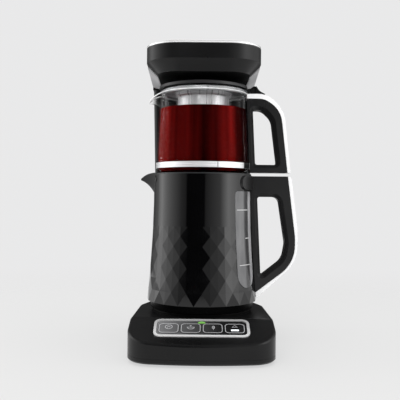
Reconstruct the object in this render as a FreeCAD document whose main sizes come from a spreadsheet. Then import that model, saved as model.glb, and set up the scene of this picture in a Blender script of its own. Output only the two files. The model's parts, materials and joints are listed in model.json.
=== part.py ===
"""Automatic tea maker: a control base with a column and a cantilever head, a faceted kettle that
turns on its power base, and a glass teapot that stands on the kettle under the head.

Frame: +Z up, millimetres, floor at Z = 0, front of the machine towards -Y, handles towards +X.
Every piece is drawn about the upright axis of the kettle, and its Placement then moves that axis
so that the origin lies at the middle of the machine's footprint.
"""

import FreeCAD, Part
import Sketcher

import math
import os

Vector = FreeCAD.Vector

# Two places nearer to each other than this are the same place.
NEAR = 0.01

doc = FreeCAD.newDocument("TeaMaker")
sheet = doc.addObject("Spreadsheet::Sheet", "Sizes")

# ---------------------------------------------------------------------------
# Driving dimensions: millimetres and degrees, about the kettle's axis
# ---------------------------------------------------------------------------
DIMENSIONS = [
    # how far a cutting form runs past the surface that it opens
    ("overcut", 1),
    # base
    ("foot_height", 3), ("foot_radius", 9), ("foot_taper", 0.8), ("foot_inset", 26),
    ("base_wall", 2.5), ("base_front", 125), ("base_back", 125),
    ("base_half_front", 87.5), ("base_half_middle", 83), ("base_half_back", 71.5),
    ("base_middle_behind", 30), ("base_shoulder_behind", 66), ("base_bow", 10),
    ("base_front_corner", 32), ("base_back_corner", 14), ("base_shoulder_round", 24),
    ("tray_height", 6), ("tray_bevel", 2), ("deck_height", 46.7), ("crease_height", 26), ("deck_slope", 20),
    ("deck_edge_round", 3.5), ("deck_bend", 24), ("seam", 0.2),
    # control panel, measured up the slope from the front crease
    ("panel_bottom", 18), ("panel_top", 56), ("panel_margin", 5.45), ("panel_corner", 9),
    ("bezel_width", 3.2), ("bezel_rise", 1.2), ("bezel_depth", 6), ("bezel_wall", 1), ("panel_fit", 0.15),
    ("fascia_thickness", 1.8), ("fascia_rise", 0.3),
    ("key_bottom", 25), ("key_length", 21), ("key_gap", 1.7), ("key_pitch", 25.7),
    ("key_corner", 4.5), ("key_rise", 0.9), ("key_depth", 4.5), ("key_clearance", 0.4),
    ("key_travel", 1.0), ("lens_width", 9.4), ("lens_length", 4), ("lens_above_keys", 1.6),
    ("lens_rise", 0.2), ("switch_gap", 0.3), ("switch_size", 6), ("switch_height", 1.5),
    ("board_thickness", 1.6), ("board_clearance", 0.8), ("board_length", 32), ("post_radius", 1.3),
    ("post_inset", 4.8), ("post_clearance", 0.2),
    # power base and the connector
    ("pedestal_radius", 64), ("pedestal_height", 3.5), ("pedestal_round", 1.2),
    ("connector_radius", 19), ("connector_height", 10.5), ("connector_round", 2),
    ("turning_gap", 0.4), ("socket_gap", 0.6),
    # kettle
    ("kettle_wall", 2.6), ("kettle_foot_radius", 67.5), ("kettle_foot_taper", 1.8),
    ("kettle_bottom", 60), ("kettle_bottom_radius", 71), ("kettle_waist", 185),
    ("kettle_waist_radius", 63.4), ("kettle_flare_power", 1.5), ("kettle_top", 220.9),
    ("kettle_top_radius", 63.3), ("facet_top", 156), ("facet_rows", 7), ("facet_columns", 22),
    ("facet_depth", 0.45), ("facet_shrink", 0.3), ("foot_ring_width", 5),
    ("heater_thickness", 2.4), ("heater_step", 1.2), ("heater_dish", 31), ("heater_dish_edge", 33),
    ("heater_fit", 0.6),
    ("collar_thickness", 1.6), ("collar_depth", 5), ("collar_mouth_radius", 50),
    ("collar_fit", 0.15), ("socket_wall", 3), ("socket_floor", 2), ("rim_edge", 0.3),
    # beaks, by four sections towards the tip: reach, half width, top and underside
    ("kettle_beak_root", 58), ("kettle_beak_root_half", 24), ("kettle_beak_root_top", 223),
    ("kettle_beak_root_low", 184),
    ("kettle_beak_throat", 66.6), ("kettle_beak_throat_half", 14.5), ("kettle_beak_throat_top", 222.6),
    ("kettle_beak_throat_low", 202.6),
    ("kettle_beak_neck", 73.5), ("kettle_beak_neck_half", 8), ("kettle_beak_neck_top", 220.4),
    ("kettle_beak_neck_low", 209.7),
    ("kettle_beak_tip", 80.5), ("kettle_beak_tip_half", 3), ("kettle_beak_tip_top", 215.4),
    ("kettle_beak_tip_low", 213.6),
    ("beak_wall", 1.5), ("beak_overrun", 0.5), ("beak_opening", 3),
    ("beak_belly", 0.5), ("beak_belly_rise", 0.42),
    # level window, at its bearing from the front towards the handle
    ("window_bearing", 55), ("window_half", 17.6), ("window_top", 200), ("window_bottom", 80),
    ("window_head_round", 3.5), ("window_foot_round", 16.5), ("window_proud", 0.5), ("window_fit", 0.15),
    # handles
    ("handle_width", 25), ("handle_bevel", 4.6), ("strap_inset", 1.2), ("handle_fit", 0.1),
    ("handle_root", 5), ("handle_bevel_start", 1.5),
    ("saddle_half", 43), ("saddle_bottom", 202), ("saddle_thickness", 2.2), ("saddle_round", 8),
    ("kettle_handle_top", 220), ("kettle_handle_bottom", 61.8), ("kettle_handle_foot_reach", 69),
    ("kettle_handle_top_reach", 114.4), ("kettle_handle_reach", 123), ("kettle_handle_elbow", 151),
    ("kettle_heel_back", 0.4), ("kettle_handle_heel", 110), ("kettle_elbow_round", 60),
    ("kettle_heel_round", 45), ("kettle_handle_corner", 5),
    # how far the grip lies within its strap's outline: at the top, elbow, heel and foot
    ("kettle_strap_top", 4.7), ("kettle_strap", 3.4), ("kettle_strap_elbow_drop", 10),
    ("kettle_strap_heel_drop", 1.8), ("kettle_strap_foot", 7), ("kettle_strap_foot_rise", 3.3),
    ("kettle_hole_top", 193.4), ("kettle_hole_bottom", 91),
    ("kettle_post", 7.4), ("kettle_grip_top", 16.4), ("kettle_grip", 15.8), ("kettle_grip_heel", 18.9),
    ("kettle_hole_elbow", 133), ("kettle_hole_heel", 113), ("kettle_hole_round", 9),
    ("kettle_hole_corner", 3), ("kettle_hole_heel_round", 21), ("kettle_hole_foot_round", 2),
    ("pot_handle_top", 326.3), ("pot_handle_bottom", 224.8), ("pot_handle_reach", 113.2),
    ("pot_handle_shoulder", 79), ("pot_elbow_ahead", 24.8), ("pot_elbow_drop", 16.4),
    ("pot_shoulder_round", 27), ("pot_elbow_round", 42),
    ("pot_strap_top", 6.3), ("pot_strap_elbow", 3.9), ("pot_strap_elbow_drop", 4.6),
    ("pot_strap_foot", 4.2), ("pot_strap_elbow_round", 33),
    ("pot_grip", 17.5), ("pot_hole_top", 306), ("pot_hole_bottom", 235),
    ("pot_hole_shoulder", 75.5), ("pot_hole_elbow", 294), ("pot_hole_elbow_reach", 88.2),
    ("pot_post", 7.2), ("pot_hole_shoulder_round", 15), ("pot_hole_elbow_round", 20),
    ("pot_hole_corner", 3),
    # teapot
    ("pot_gap", 0.3), ("pot_bottom_radius", 60.3), ("pot_top_radius", 56.8), ("pot_belly_rise", 23.2),
    ("pot_top", 329.4), ("glass", 2.4), ("pot_base_round", 4),
    ("pot_bead", 0.8), ("pot_bead_height", 3.6), ("pot_bead_round", 0.8),
    ("pot_beak_root", 53), ("pot_beak_root_half", 18), ("pot_beak_root_top", 327.6),
    ("pot_beak_root_low", 304.5),
    ("pot_beak_throat", 59), ("pot_beak_throat_half", 13), ("pot_beak_throat_top", 325.9),
    ("pot_beak_throat_low", 309.6),
    ("pot_beak_neck", 65), ("pot_beak_neck_half", 8), ("pot_beak_neck_top", 322.4),
    ("pot_beak_neck_low", 312.4),
    ("pot_beak_tip", 70.5), ("pot_beak_tip_half", 3.4), ("pot_beak_tip_top", 316.2),
    ("pot_beak_tip_low", 313),
    ("pour_start", 32), ("pour_start_rise", 0.1), ("pour_drop", 1.2),
    ("band_bottom", 229), ("band_top", 236), ("band_thickness", 0.9), ("band_fit", 0.1),
    ("ring_rise", 0.1), ("ring_depth", 5), ("ring_fit", 0.2), ("basket_sink", 1.4),
    ("ring_skirt", 2.4), ("ring_ledge", 1), ("ring_lip", 4),
    ("basket_radius", 33.6), ("basket_rim_radius", 40.7), ("basket_neck_radius", 36.4),
    ("basket_neck_depth", 4.6), ("basket_neck_slope", 2),
    ("basket_bottom", 262), ("basket_wall", 0.8), ("basket_slots", 20), ("basket_slot_width", 2.2),
    ("basket_slot_bottom", 268), ("basket_slot_top", 292),
    # lid
    ("lid_radius", 57.3), ("lid_bottom", 331.9), ("lid_top", 335.9), ("lid_edge_round", 1.2),
    ("lid_hole_radius", 9), ("gasket_radius", 54), ("gasket_width", 5),
    ("lid_clearance", 0.3), ("hinge_reach", 64), ("hinge_pin_radius", 1.6),
    ("hinge_running_fit", 0.05), ("knuckle_radius", 3.2), ("knuckle_width", 8),
    ("ear_width", 3.5), ("bracket_thickness", 0.8), ("hinge_gap", 0.5), ("lever_reach", 79.5),
    ("lever_peak", 338.8), ("lever_half", 9), ("lever_swing", 1.1), ("lever_root_gap", 0.1),
    ("lever_root_rise", 1.7), ("lever_neck_rise", 1.9), ("lever_neck", 3), ("lever_peak_ahead", 2.6),
    ("lever_slope", 8.4), ("lever_slope_rise", 3), ("lever_flat", 5), ("lever_tail", 1.2),
    ("lever_tail_rise", 0.6), ("lever_neck_round", 5), ("lever_peak_round", 3), ("lever_slope_round", 14),
    # column
    ("column_front", 78), ("column_half_foot", 64), ("column_half_top", 71), ("column_wall", 2.6),
    ("column_split", 103), ("column_round", 7),
    # head
    ("head_bottom", 345.1), ("head_crease", 358.7), ("head_top", 379.5), ("head_front", 73.5),
    ("head_half", 71.7), ("head_corner", 42), ("head_wall", 3), ("rim_height", 3),
    ("rim_width", 3), ("cover_recess", 0.6), ("cover_thickness", 2.5), ("neck_front", 18),
    ("neck_trim", 1.2), ("neck_drop", 9), ("neck_front_drop", 0.6), ("neck_edge", 0.1),
    ("neck_gap", 0.3),
    ("outlet_radius", 12), ("outlet_drop", 2.4), ("outlet_height", 9), ("outlet_fit", 0.2),
    ("outlet_bevel", 2), ("outlet_flare", 1.5), ("outlet_port", 3),
    # water path
    ("tube_radius", 4), ("tube_bore", 2.6), ("tube_bend", 12), ("tube_height", 364),
    ("tube_behind", 92), ("tube_hole_clearance", 1.5), ("tube_end_gap", 0.2), ("nipple_length", 8),
    ("pump_radius", 15), ("pump_height", 27), ("feed_height", 26),
    # fasteners, posts and boards inside the base
    ("screw_radius", 3), ("screw_head", 1.8), ("screw_shank", 1.5), ("screw_length", 11),
    ("screw_clearance", 0.2), ("boss_radius", 4), ("boss_side", 60), ("boss_front", 58),
    ("boss_back_side", 52), ("boss_back", 74),
    ("power_board_width", 46), ("power_board_length", 60), ("power_board_side", 30),
    ("power_board_post", 4), ("power_post_radius", 3), ("power_board_edge", 5),
    ("element_ring", 45), ("element_radius", 3.2), ("element_angle", 330),
    ("inlet_radius", 6.5), ("inlet_bore", 3.2), ("inlet_side", 40), ("inlet_height", 20),
    ("inlet_flange", 1.6),
]


class Size:
    """A size as a number, together with the sheet's own formula for it."""

    def __init__(self, value, formula=None):
        self.value = float(value)
        self.formula = formula if formula is not None else repr(float(value))

    def __add__(self, other):
        other = as_size(other)
        return Size(self.value + other.value, f"({self.formula} + {other.formula})")

    def __radd__(self, other):
        return as_size(other) + self

    def __sub__(self, other):
        other = as_size(other)
        return Size(self.value - other.value, f"({self.formula} - {other.formula})")

    def __rsub__(self, other):
        return as_size(other) - self

    def __mul__(self, other):
        other = as_size(other)
        return Size(self.value * other.value, f"({self.formula} * {other.formula})")

    def __rmul__(self, other):
        return as_size(other) * self

    def __truediv__(self, other):
        other = as_size(other)
        return Size(self.value / other.value, f"({self.formula} / {other.formula})")

    def __neg__(self):
        return Size(-self.value, f"(0 - {self.formula})")


def as_size(number):
    return number if isinstance(number, Size) else Size(number)


def tangent(angle):
    return Size(math.tan(math.radians(angle.value)), f"tan({angle.formula})")


class Sizes:
    """The sheet's aliases as attributes, each a Size."""


size = Sizes()
for row, (alias, number) in enumerate(DIMENSIONS, start=1):
    sheet.set(f"A{row}", alias.replace("_", " "))
    sheet.set(f"B{row}", str(number))
    sheet.setAlias(f"B{row}", alias)
    setattr(size, alias, Size(number, f"Sizes.{alias}"))
doc.recompute()

# The middle of the footprint lies this far from the kettle's axis, towards the handles.
footprint_shift = (size.kettle_handle_reach.value - size.base_half_front.value) / 2
MACHINE = FreeCAD.Placement(Vector(-footprint_shift, 0, 0), FreeCAD.Rotation())

# The sloping part of the deck: X to the right, Y up the slope, Z out of it.
SLOPE = FreeCAD.Placement(
    Vector(-footprint_shift, -size.base_front.value, size.crease_height.value),
    FreeCAD.Rotation(Vector(1, 0, 0), size.deck_slope.value),
)

pieces = {}


# ---------------------------------------------------------------------------
# Drawing helpers
# ---------------------------------------------------------------------------
def bind(item, prop, length):
    """Tie one property of an object to the sheet."""
    item.setExpression(prop, as_size(length).formula)


def finish(name, item, placement=MACHINE):
    """Name a finished piece and put it in its place on the machine."""
    item.Label = name
    item.Placement = placement
    pieces[name] = item
    return item


def shape_piece(name, shape, placement=MACHINE):
    """A finished piece whose form is made with Part's own functions."""
    item = doc.addObject("Part::Feature", name)
    item.Shape = shape
    return finish(name, item, placement)


def helper_shape(name, shape):
    """A form made with Part's own functions that another piece is cut from or by."""
    item = doc.addObject("Part::Feature", name)
    item.Shape = shape
    return item


def new_body(name):
    return doc.addObject("PartDesign::Body", name)


def plane_of(body, role):
    return next(f for f in body.Origin.OriginFeatures if f.Role == role)


def polygon_sketch(body, role, points, name="Profile", offset=0):
    """A closed outline on one of the body's planes, each corner tied to the sheet.

    A point is (x, y), or (x, y, radius, side) where the edge to the next point is an arc of that
    radius that bulges to the right (side 1) or to the left (side -1) of its chord.
    """
    sketch = body.newObject("Sketcher::SketchObject", f"{body.Name}{name}")
    sketch.AttachmentSupport = [(plane_of(body, role), "")]
    sketch.MapMode = "FlatFace"
    bind(sketch, "AttachmentOffset.Base.z", offset)
    corners = [(as_size(p[0]), as_size(p[1])) for p in points]
    count = len(points)
    for index, point in enumerate(points):
        start = Vector(corners[index][0].value, corners[index][1].value, 0)
        after = corners[(index + 1) % count]
        end = Vector(after[0].value, after[1].value, 0)
        if len(point) == 2:
            sketch.addGeometry(Part.LineSegment(start, end))
        else:
            sketch.addGeometry(arc_between(start, end, as_size(point[2]).value, point[3]))
    for index, point in enumerate(points):
        arc = len(point) > 2
        following = points[(index + 1) % count]
        # An arc runs anticlockwise, so one that bulges to the left starts at its far end.
        end_vertex = 1 if arc and point[3] < 0 else 2
        next_start = 2 if len(following) > 2 and following[3] < 0 else 1
        follower = (index + 1) % count
        sketch.addConstraint(Sketcher.Constraint("Coincident", index, end_vertex, follower, next_start))
    for index, (x, y) in enumerate(corners):
        vertex = 2 if len(points[index]) > 2 and points[index][3] < 0 else 1
        for kind, coordinate in (("DistanceX", x), ("DistanceY", y)):
            number = sketch.addConstraint(
                Sketcher.Constraint(kind, -1, 1, index, vertex, coordinate.value)
            )
            sketch.setExpression(f"Constraints[{number}]", coordinate.formula)
        if len(points[index]) > 2:
            radius = as_size(points[index][2])
            number = sketch.addConstraint(Sketcher.Constraint("Radius", index, radius.value))
            sketch.setExpression(f"Constraints[{number}]", radius.formula)
    return sketch


def arc_between(start, end, radius, side):
    """The shorter arc from start to end that bulges to the right (side 1) or left (-1)."""
    chord = end - start
    half = chord.Length / 2
    across = Vector(chord.y, -chord.x, 0).normalize() * side
    depth = radius - math.sqrt(radius * radius - half * half)
    return Part.Arc(start, (start + end) / 2 + across * depth, end)


def pad(body, sketch, length, midplane=False, reverse=False):
    feature = body.newObject("PartDesign::Pad", f"{sketch.Name}Pad")
    feature.Profile = sketch
    feature.Midplane = midplane
    feature.Reversed = reverse
    bind(feature, "Length", length)
    doc.recompute()
    return feature


def pocket(body, sketch, length, midplane=False, reverse=False):
    """A pocket that has to take material away."""
    before = body.Shape.Volume
    feature = body.newObject("PartDesign::Pocket", f"{sketch.Name}Pocket")
    feature.Profile = sketch
    feature.Midplane = midplane
    feature.Reversed = reverse
    bind(feature, "Length", length)
    doc.recompute()
    if body.Shape.Volume >= before:
        raise RuntimeError(f"{feature.Name} cuts nothing")
    return feature


def revolve(body, sketch):
    """Turn an outline on the XZ plane about the upright axis."""
    feature = body.newObject("PartDesign::Revolution", f"{sketch.Name}Turn")
    feature.Profile = sketch
    feature.ReferenceAxis = (sketch, ["V_Axis"])
    feature.Angle = 360
    doc.recompute()
    return feature


def edges_where(feature, wanted):
    """The names of a feature's edges whose middle and direction the test accepts."""
    names = []
    for index, edge in enumerate(feature.Shape.Edges, start=1):
        middle = edge.valueAt((edge.FirstParameter + edge.LastParameter) / 2)
        ends = [v.Point for v in edge.Vertexes]
        along = (ends[-1] - ends[0]) if len(ends) == 2 else Vector(0, 0, 0)
        if wanted(middle, along):
            names.append(f"Edge{index}")
    return names


def dress(body, kind, wanted, length, name):
    """Fillet or chamfer the edges of the body's last feature that the test accepts."""
    base = body.Tip
    feature = body.newObject(f"PartDesign::{kind}", f"{body.Name}{name}")
    feature.Base = (base, edges_where(base, wanted))
    bind(feature, "Radius" if kind == "Fillet" else "Size", length)
    doc.recompute()
    return feature


def upright(middle, along):
    return abs(along.z) > 0.9 * along.Length > 0


def cut(name, base, *tools):
    """One object less others, as a chain of Part cuts."""
    for index, tool in enumerate(tools):
        item = doc.addObject("Part::Cut", f"{name}Cut{index}")
        item.Base = base
        item.Tool = tool
        base = item
    doc.recompute()
    return base


def rounded_plate(name, width, length, corner, height, middle_y=0, bottom=0):
    """A rounded rectangle across the Y axis, standing up from the given height."""
    body = new_body(name)
    half = as_size(width) / 2
    low = as_size(middle_y) - as_size(length) / 2
    high = as_size(middle_y) + as_size(length) / 2
    outline = [(-half, low), (half, low), (half, high), (-half, high)]
    pad(body, polygon_sketch(body, "XY_Plane", outline, offset=bottom), height)
    dress(body, "Fillet", upright, corner, "Corners")
    return body


def turned(name, outline):
    """A turned piece from its half section (radius, height)."""
    body = new_body(name)
    revolve(body, polygon_sketch(body, "XZ_Plane", outline))
    return body


def cylinder(name, radius, height, x=0, y=0, z=0):
    item = doc.addObject("Part::Cylinder", name)
    bind(item, "Radius", radius)
    bind(item, "Height", height)
    for letter, number in (("x", x), ("y", y), ("z", z)):
        bind(item, f"Placement.Base.{letter}", number)
    return item


def group(name, shapes, placement=MACHINE):
    """Like pieces that share one name, as separate solids."""
    return shape_piece(name, Part.makeCompound(shapes), placement)


# ---------------------------------------------------------------------------
# Base: tray, deck cover, feet
# ---------------------------------------------------------------------------
def base_outline(inset):
    """The footprint, drawn in from the outer walls by the inset, anticlockwise from front left."""
    front = size.base_front - inset
    back = size.base_back - inset
    half_front = size.base_half_front - inset
    half_middle = size.base_half_middle - inset
    half_back = size.base_half_back - inset
    bow_half = size.base_half_front
    bow_radius = (bow_half * bow_half + size.base_bow * size.base_bow) / (2 * size.base_bow)
    return [
        (-half_front, -front + size.base_bow, bow_radius, 1),
        (half_front, -front + size.base_bow),
        (half_middle, size.base_middle_behind),
        (half_back, size.base_shoulder_behind),
        (half_back, back),
        (-half_back, back),
        (-half_back, size.base_shoulder_behind),
        (-half_middle, size.base_middle_behind),
    ]


def round_base(body, inset):
    """Round the upright edges of a body raised from the footprint."""
    front_line = -(size.base_front - size.base_bow - inset).value
    shoulder_line = size.base_middle_behind.value
    back_line = (size.base_back - inset).value
    wide = (size.base_half_front - inset).value

    def at_front(middle, along):
        return upright(middle, along) and middle.y < front_line + NEAR and abs(middle.x) > wide - NEAR

    def at_shoulder(middle, along):
        return upright(middle, along) and abs(middle.y - shoulder_line) < NEAR

    def at_back(middle, along):
        return upright(middle, along) and middle.y > back_line - NEAR

    dress(body, "Fillet", at_front, size.base_front_corner - inset, "FrontCorners")
    dress(body, "Fillet", at_shoulder, size.base_shoulder_round, "Shoulders")
    dress(body, "Fillet", at_back, size.base_back_corner - inset, "BackCorners")


def sloped_block(name, inset, bottom, top, slope_drop):
    """The footprint raised to the deck, with its front sloped down to the crease."""
    body = new_body(name)
    pad(body, polygon_sketch(body, "XY_Plane", base_outline(inset), offset=bottom), top - bottom)
    round_base(body, inset)
    crease = size.crease_height - slope_drop
    overhang = 10 * size.overcut
    beyond = size.base_front + overhang
    low = crease - overhang * tangent(size.deck_slope)
    run = (top + overhang - crease) / tangent(size.deck_slope)
    wedge = [
        (-beyond, low),
        (run - size.base_front, top + overhang),
        (-beyond, top + overhang),
    ]
    side = polygon_sketch(body, "YZ_Plane", wedge, name="Slope")
    pocket(body, side, 4 * size.base_half_front, midplane=True)
    dress(
        body,
        "Fillet",
        lambda middle, along: abs(middle.x) < NEAR
        and middle.y < 0
        and abs(middle.z - top.value) < NEAR,
        size.deck_bend - inset,
        "Bend",
    )
    return body


tray_bottom = size.foot_height
tray_top = tray_bottom + size.tray_height
cover_bottom = tray_top + size.seam

tray_block = new_body("TrayBlock")
pad(
    tray_block,
    polygon_sketch(tray_block, "XY_Plane", base_outline(0), offset=tray_bottom),
    size.tray_height,
)
round_base(tray_block, 0)
dress(
    tray_block,
    "Chamfer",
    lambda middle, along: abs(middle.z - tray_bottom.value) < NEAR,
    size.tray_bevel,
    "Underside",
)
tray_hollow = new_body("TrayHollow")
pad(
    tray_hollow,
    polygon_sketch(
        tray_hollow, "XY_Plane", base_outline(size.base_wall), offset=tray_bottom + size.base_wall
    ),
    size.tray_height,
)
round_base(tray_hollow, size.base_wall)


def post(x, y, radius, bottom, top):
    """An upright round post."""
    return Part.makeCylinder(radius, top - bottom, Vector(x, y, bottom))


def boss_places():
    """Where the screws that hold the tray to the cover go up."""
    front, back = -size.boss_front.value, size.boss_back.value
    wide, narrow = size.boss_side.value, size.boss_back_side.value
    return [(-wide, front), (wide, front), (narrow, back), (-narrow, back)]


def power_board_posts():
    """The corners of the power board."""
    across = size.power_board_width.value / 2 - size.power_board_edge.value
    along = size.power_board_length.value / 2 - size.power_board_edge.value
    side = size.power_board_side.value
    return [(side + x, y) for x in (-across, across) for y in (-along, along)]


tray_floor = tray_bottom + size.base_wall
screw_hole = size.screw_shank.value + size.screw_clearance.value
tray_shell = cut("TrayShell", tray_block, tray_hollow)
tray_shape = tray_shell.Shape
for x, y in power_board_posts():
    tray_shape = tray_shape.fuse(
        post(
            x,
            y,
            size.power_post_radius.value,
            (tray_floor - size.base_wall / 4).value,
            tray_floor.value + size.power_board_post.value,
        )
    )
for x, y in boss_places():
    hole = Part.makeCylinder(screw_hole, 2 * size.tray_height.value, Vector(x, y, 0))
    tray_shape = tray_shape.cut(hole)
shape_piece("base_tray", tray_shape)


def deck_rim(middle, along):
    """The rim of the slope and of the deck ahead of the column, but not the bend across the deck."""
    low, high = cover_bottom.value, size.deck_height.value
    across_deck = abs(middle.x) < NEAR and middle.z > size.crease_height.value + NEAR
    at_column = middle.y > size.base_shoulder_behind.value
    return middle.z > (low + high) / 3 and not (upright(middle, along) or across_deck or at_column)


deck_block = sloped_block("DeckBlock", 0, cover_bottom, size.deck_height, 0)
dress(deck_block, "Fillet", deck_rim, size.deck_edge_round, "TopEdge")
deck_hollow = sloped_block(
    "DeckHollow",
    size.base_wall,
    cover_bottom - size.overcut,
    size.deck_height - size.base_wall,
    size.base_wall,
)

key_width = size.key_pitch - size.key_gap
panel_width = 3 * size.key_pitch + key_width + 2 * size.panel_margin
panel_length = size.panel_top - size.panel_bottom
panel_middle = (size.panel_top + size.panel_bottom) / 2
window_width = panel_width - 2 * (size.bezel_width - size.bezel_wall)
window_length = panel_length - 2 * (size.bezel_width - size.bezel_wall)
panel_hole = rounded_plate(
    "PanelHole",
    window_width,
    window_length,
    size.panel_corner,
    4 * size.base_wall,
    panel_middle,
    -3 * size.base_wall,
)
panel_hole.Placement = FreeCAD.Placement(Vector(0, SLOPE.Base.y, SLOPE.Base.z), SLOPE.Rotation)
hole_radius = size.tube_radius + size.tube_hole_clearance
through = 4 * size.base_wall
riser_hole = cylinder(
    "DeckRiserHole", hole_radius, through, 0, size.tube_behind, size.deck_height - through / 2
)
feed_hole = cylinder("DeckFeedHole", hole_radius, through, 0, 0, size.deck_height - through / 2)
inlet_hole = helper_shape(
    "InletHole",
    Part.makeCylinder(
        size.inlet_radius.value,
        through.value,
        Vector(
            size.inlet_side.value,
            (size.base_back - through / 2).value,
            size.inlet_height.value,
        ),
        Vector(0, 1, 0),
    ),
)
cover_shape = cut(
    "CoverShell", deck_block, deck_hollow, panel_hole, riser_hole, feed_hole, inlet_hole
).Shape
for x, y in boss_places():
    boss = post(
        x,
        y,
        size.boss_radius.value,
        tray_floor.value + size.seam.value,
        (size.deck_height - size.base_wall / 2).value,
    )
    pilot = Part.makeCylinder(
        size.screw_shank.value,
        (size.screw_length + size.overcut).value,
        Vector(x, y, tray_floor.value),
    )
    cover_shape = cover_shape.fuse(boss.cut(pilot))
shape_piece("base_cover", cover_shape)


def foot_places():
    """The feet sit in from the four corners of the footprint."""
    front_y = -(size.base_front - size.foot_inset - size.base_bow).value
    back_y = (size.base_back - size.foot_inset).value
    front_x = (size.base_half_front - size.foot_inset).value
    back_x = (size.base_half_back - size.foot_inset).value
    return [(-front_x, front_y), (front_x, front_y), (back_x, back_y), (-back_x, back_y)]


def foot_shape(x, y):
    """A rubber foot, slightly tapered towards the floor."""
    radius = size.foot_radius.value
    height = size.foot_height.value
    return Part.makeCone(radius - size.foot_taper.value, radius, height, Vector(x, y, 0))


group("base_feet", [foot_shape(x, y) for x, y in foot_places()])


def screw_shape(x, y, seat, length):
    """A pan head screw driven upwards, its head against the surface at the seat."""
    head = Part.makeCylinder(
        size.screw_radius.value,
        size.screw_head.value,
        Vector(x, y, seat - size.screw_head.value),
    )
    head = head.makeFillet(size.screw_head.value / 2, [head.Edges[2]])
    shank = Part.makeCylinder(size.screw_shank.value, length, Vector(x, y, seat))
    return head.fuse(shank)


group(
    "base_screws",
    [screw_shape(x, y, tray_bottom.value, size.screw_length.value) for x, y in boss_places()],
)

power_board_bottom = tray_floor + size.power_board_post
power_board = doc.addObject("Part::Box", "PowerBoard")
bind(power_board, "Length", size.power_board_width)
bind(power_board, "Width", size.power_board_length)
bind(power_board, "Height", size.board_thickness)
doc.recompute()
finish(
    "power_board",
    power_board,
    FreeCAD.Placement(
        Vector(
            size.power_board_side.value - size.power_board_width.value / 2 - footprint_shift,
            -size.power_board_length.value / 2,
            power_board_bottom.value,
        ),
        FreeCAD.Rotation(),
    ),
)

# The bushing in the rear wall for the mains lead, flush with the wall outside.
inlet_depth = size.base_wall + size.inlet_flange
inlet_start = size.base_back - inlet_depth
inlet_barrel = Part.makeCylinder(
    size.inlet_radius.value - size.panel_fit.value,
    inlet_depth.value,
    Vector(size.inlet_side.value, inlet_start.value, size.inlet_height.value),
    Vector(0, 1, 0),
)
inlet_flange = Part.makeCylinder(
    size.inlet_radius.value + size.inlet_flange.value,
    size.inlet_flange.value,
    Vector(size.inlet_side.value, inlet_start.value, size.inlet_height.value),
    Vector(0, 1, 0),
)
inlet_bore = Part.makeCylinder(
    size.inlet_bore.value,
    2 * inlet_depth.value,
    Vector(size.inlet_side.value, (inlet_start - size.overcut).value, size.inlet_height.value),
    Vector(0, 1, 0),
)
shape_piece("cord_inlet", inlet_barrel.fuse(inlet_flange).cut(inlet_bore))


# ---------------------------------------------------------------------------
# Control panel on the slope: bezel, fascia, keys, lens, board and switches
# ---------------------------------------------------------------------------
bezel_flange = rounded_plate(
    "BezelFlange", panel_width, panel_length, size.panel_corner, size.bezel_rise, panel_middle, 0
)
bezel_skirt = rounded_plate(
    "BezelSkirt",
    window_width - 2 * size.panel_fit,
    window_length - 2 * size.panel_fit,
    size.panel_corner - size.panel_fit,
    size.bezel_depth,
    panel_middle,
    -size.bezel_depth,
)
opening_width = panel_width - 2 * size.bezel_width
opening_length = panel_length - 2 * size.bezel_width
bezel_opening = rounded_plate(
    "BezelOpening",
    opening_width,
    opening_length,
    size.panel_corner - size.bezel_width,
    size.bezel_depth + size.bezel_rise + 2 * size.overcut,
    panel_middle,
    -size.bezel_depth - size.overcut,
)
bezel_whole = doc.addObject("Part::Fuse", "BezelWhole")
bezel_whole.Base = bezel_flange
bezel_whole.Tool = bezel_skirt
finish("panel_bezel", cut("PanelBezel", bezel_whole, bezel_opening), SLOPE)

fascia_block = rounded_plate(
    "FasciaBlock",
    opening_width - 2 * size.panel_fit,
    opening_length - 2 * size.panel_fit,
    size.panel_corner - size.bezel_width - size.panel_fit,
    size.fascia_thickness,
    panel_middle,
    size.fascia_rise - size.fascia_thickness,
)


def key_middle(index):
    """Keys are numbered from the left."""
    return (index - 2.5) * size.key_pitch


key_middle_y = size.key_bottom + size.key_length / 2
fascia_cutters = []
for index in range(1, 5):
    opening = new_body(f"KeyOpening{index}")
    half = key_width / 2 + size.key_clearance
    low = size.key_bottom - size.key_clearance
    high = size.key_bottom + size.key_length + size.key_clearance
    left = key_middle(index) - half
    right = key_middle(index) + half
    outline = [(left, low), (right, low), (right, high), (left, high)]
    pad(
        opening,
        polygon_sketch(opening, "XY_Plane", outline, offset=-size.fascia_thickness - size.overcut),
        size.fascia_thickness + 3 * size.overcut,
    )
    dress(opening, "Fillet", upright, size.key_corner + size.key_clearance, "Corners")
    fascia_cutters.append(opening)

lens_bottom = size.key_bottom + size.key_length + size.lens_above_keys


def lens_outline(clearance):
    """A low arch: flat at the bottom, rounded above."""
    half = size.lens_width / 2 + clearance
    rise = size.lens_length + 2 * as_size(clearance)
    radius = (half * half + rise * rise) / (2 * rise)
    return [
        (-half, lens_bottom - clearance),
        (half, lens_bottom - clearance, radius, 1),
    ]


def lens_body(name, clearance, bottom, height):
    body = new_body(name)
    pad(body, polygon_sketch(body, "XY_Plane", lens_outline(clearance), offset=bottom), height)
    return body


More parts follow.
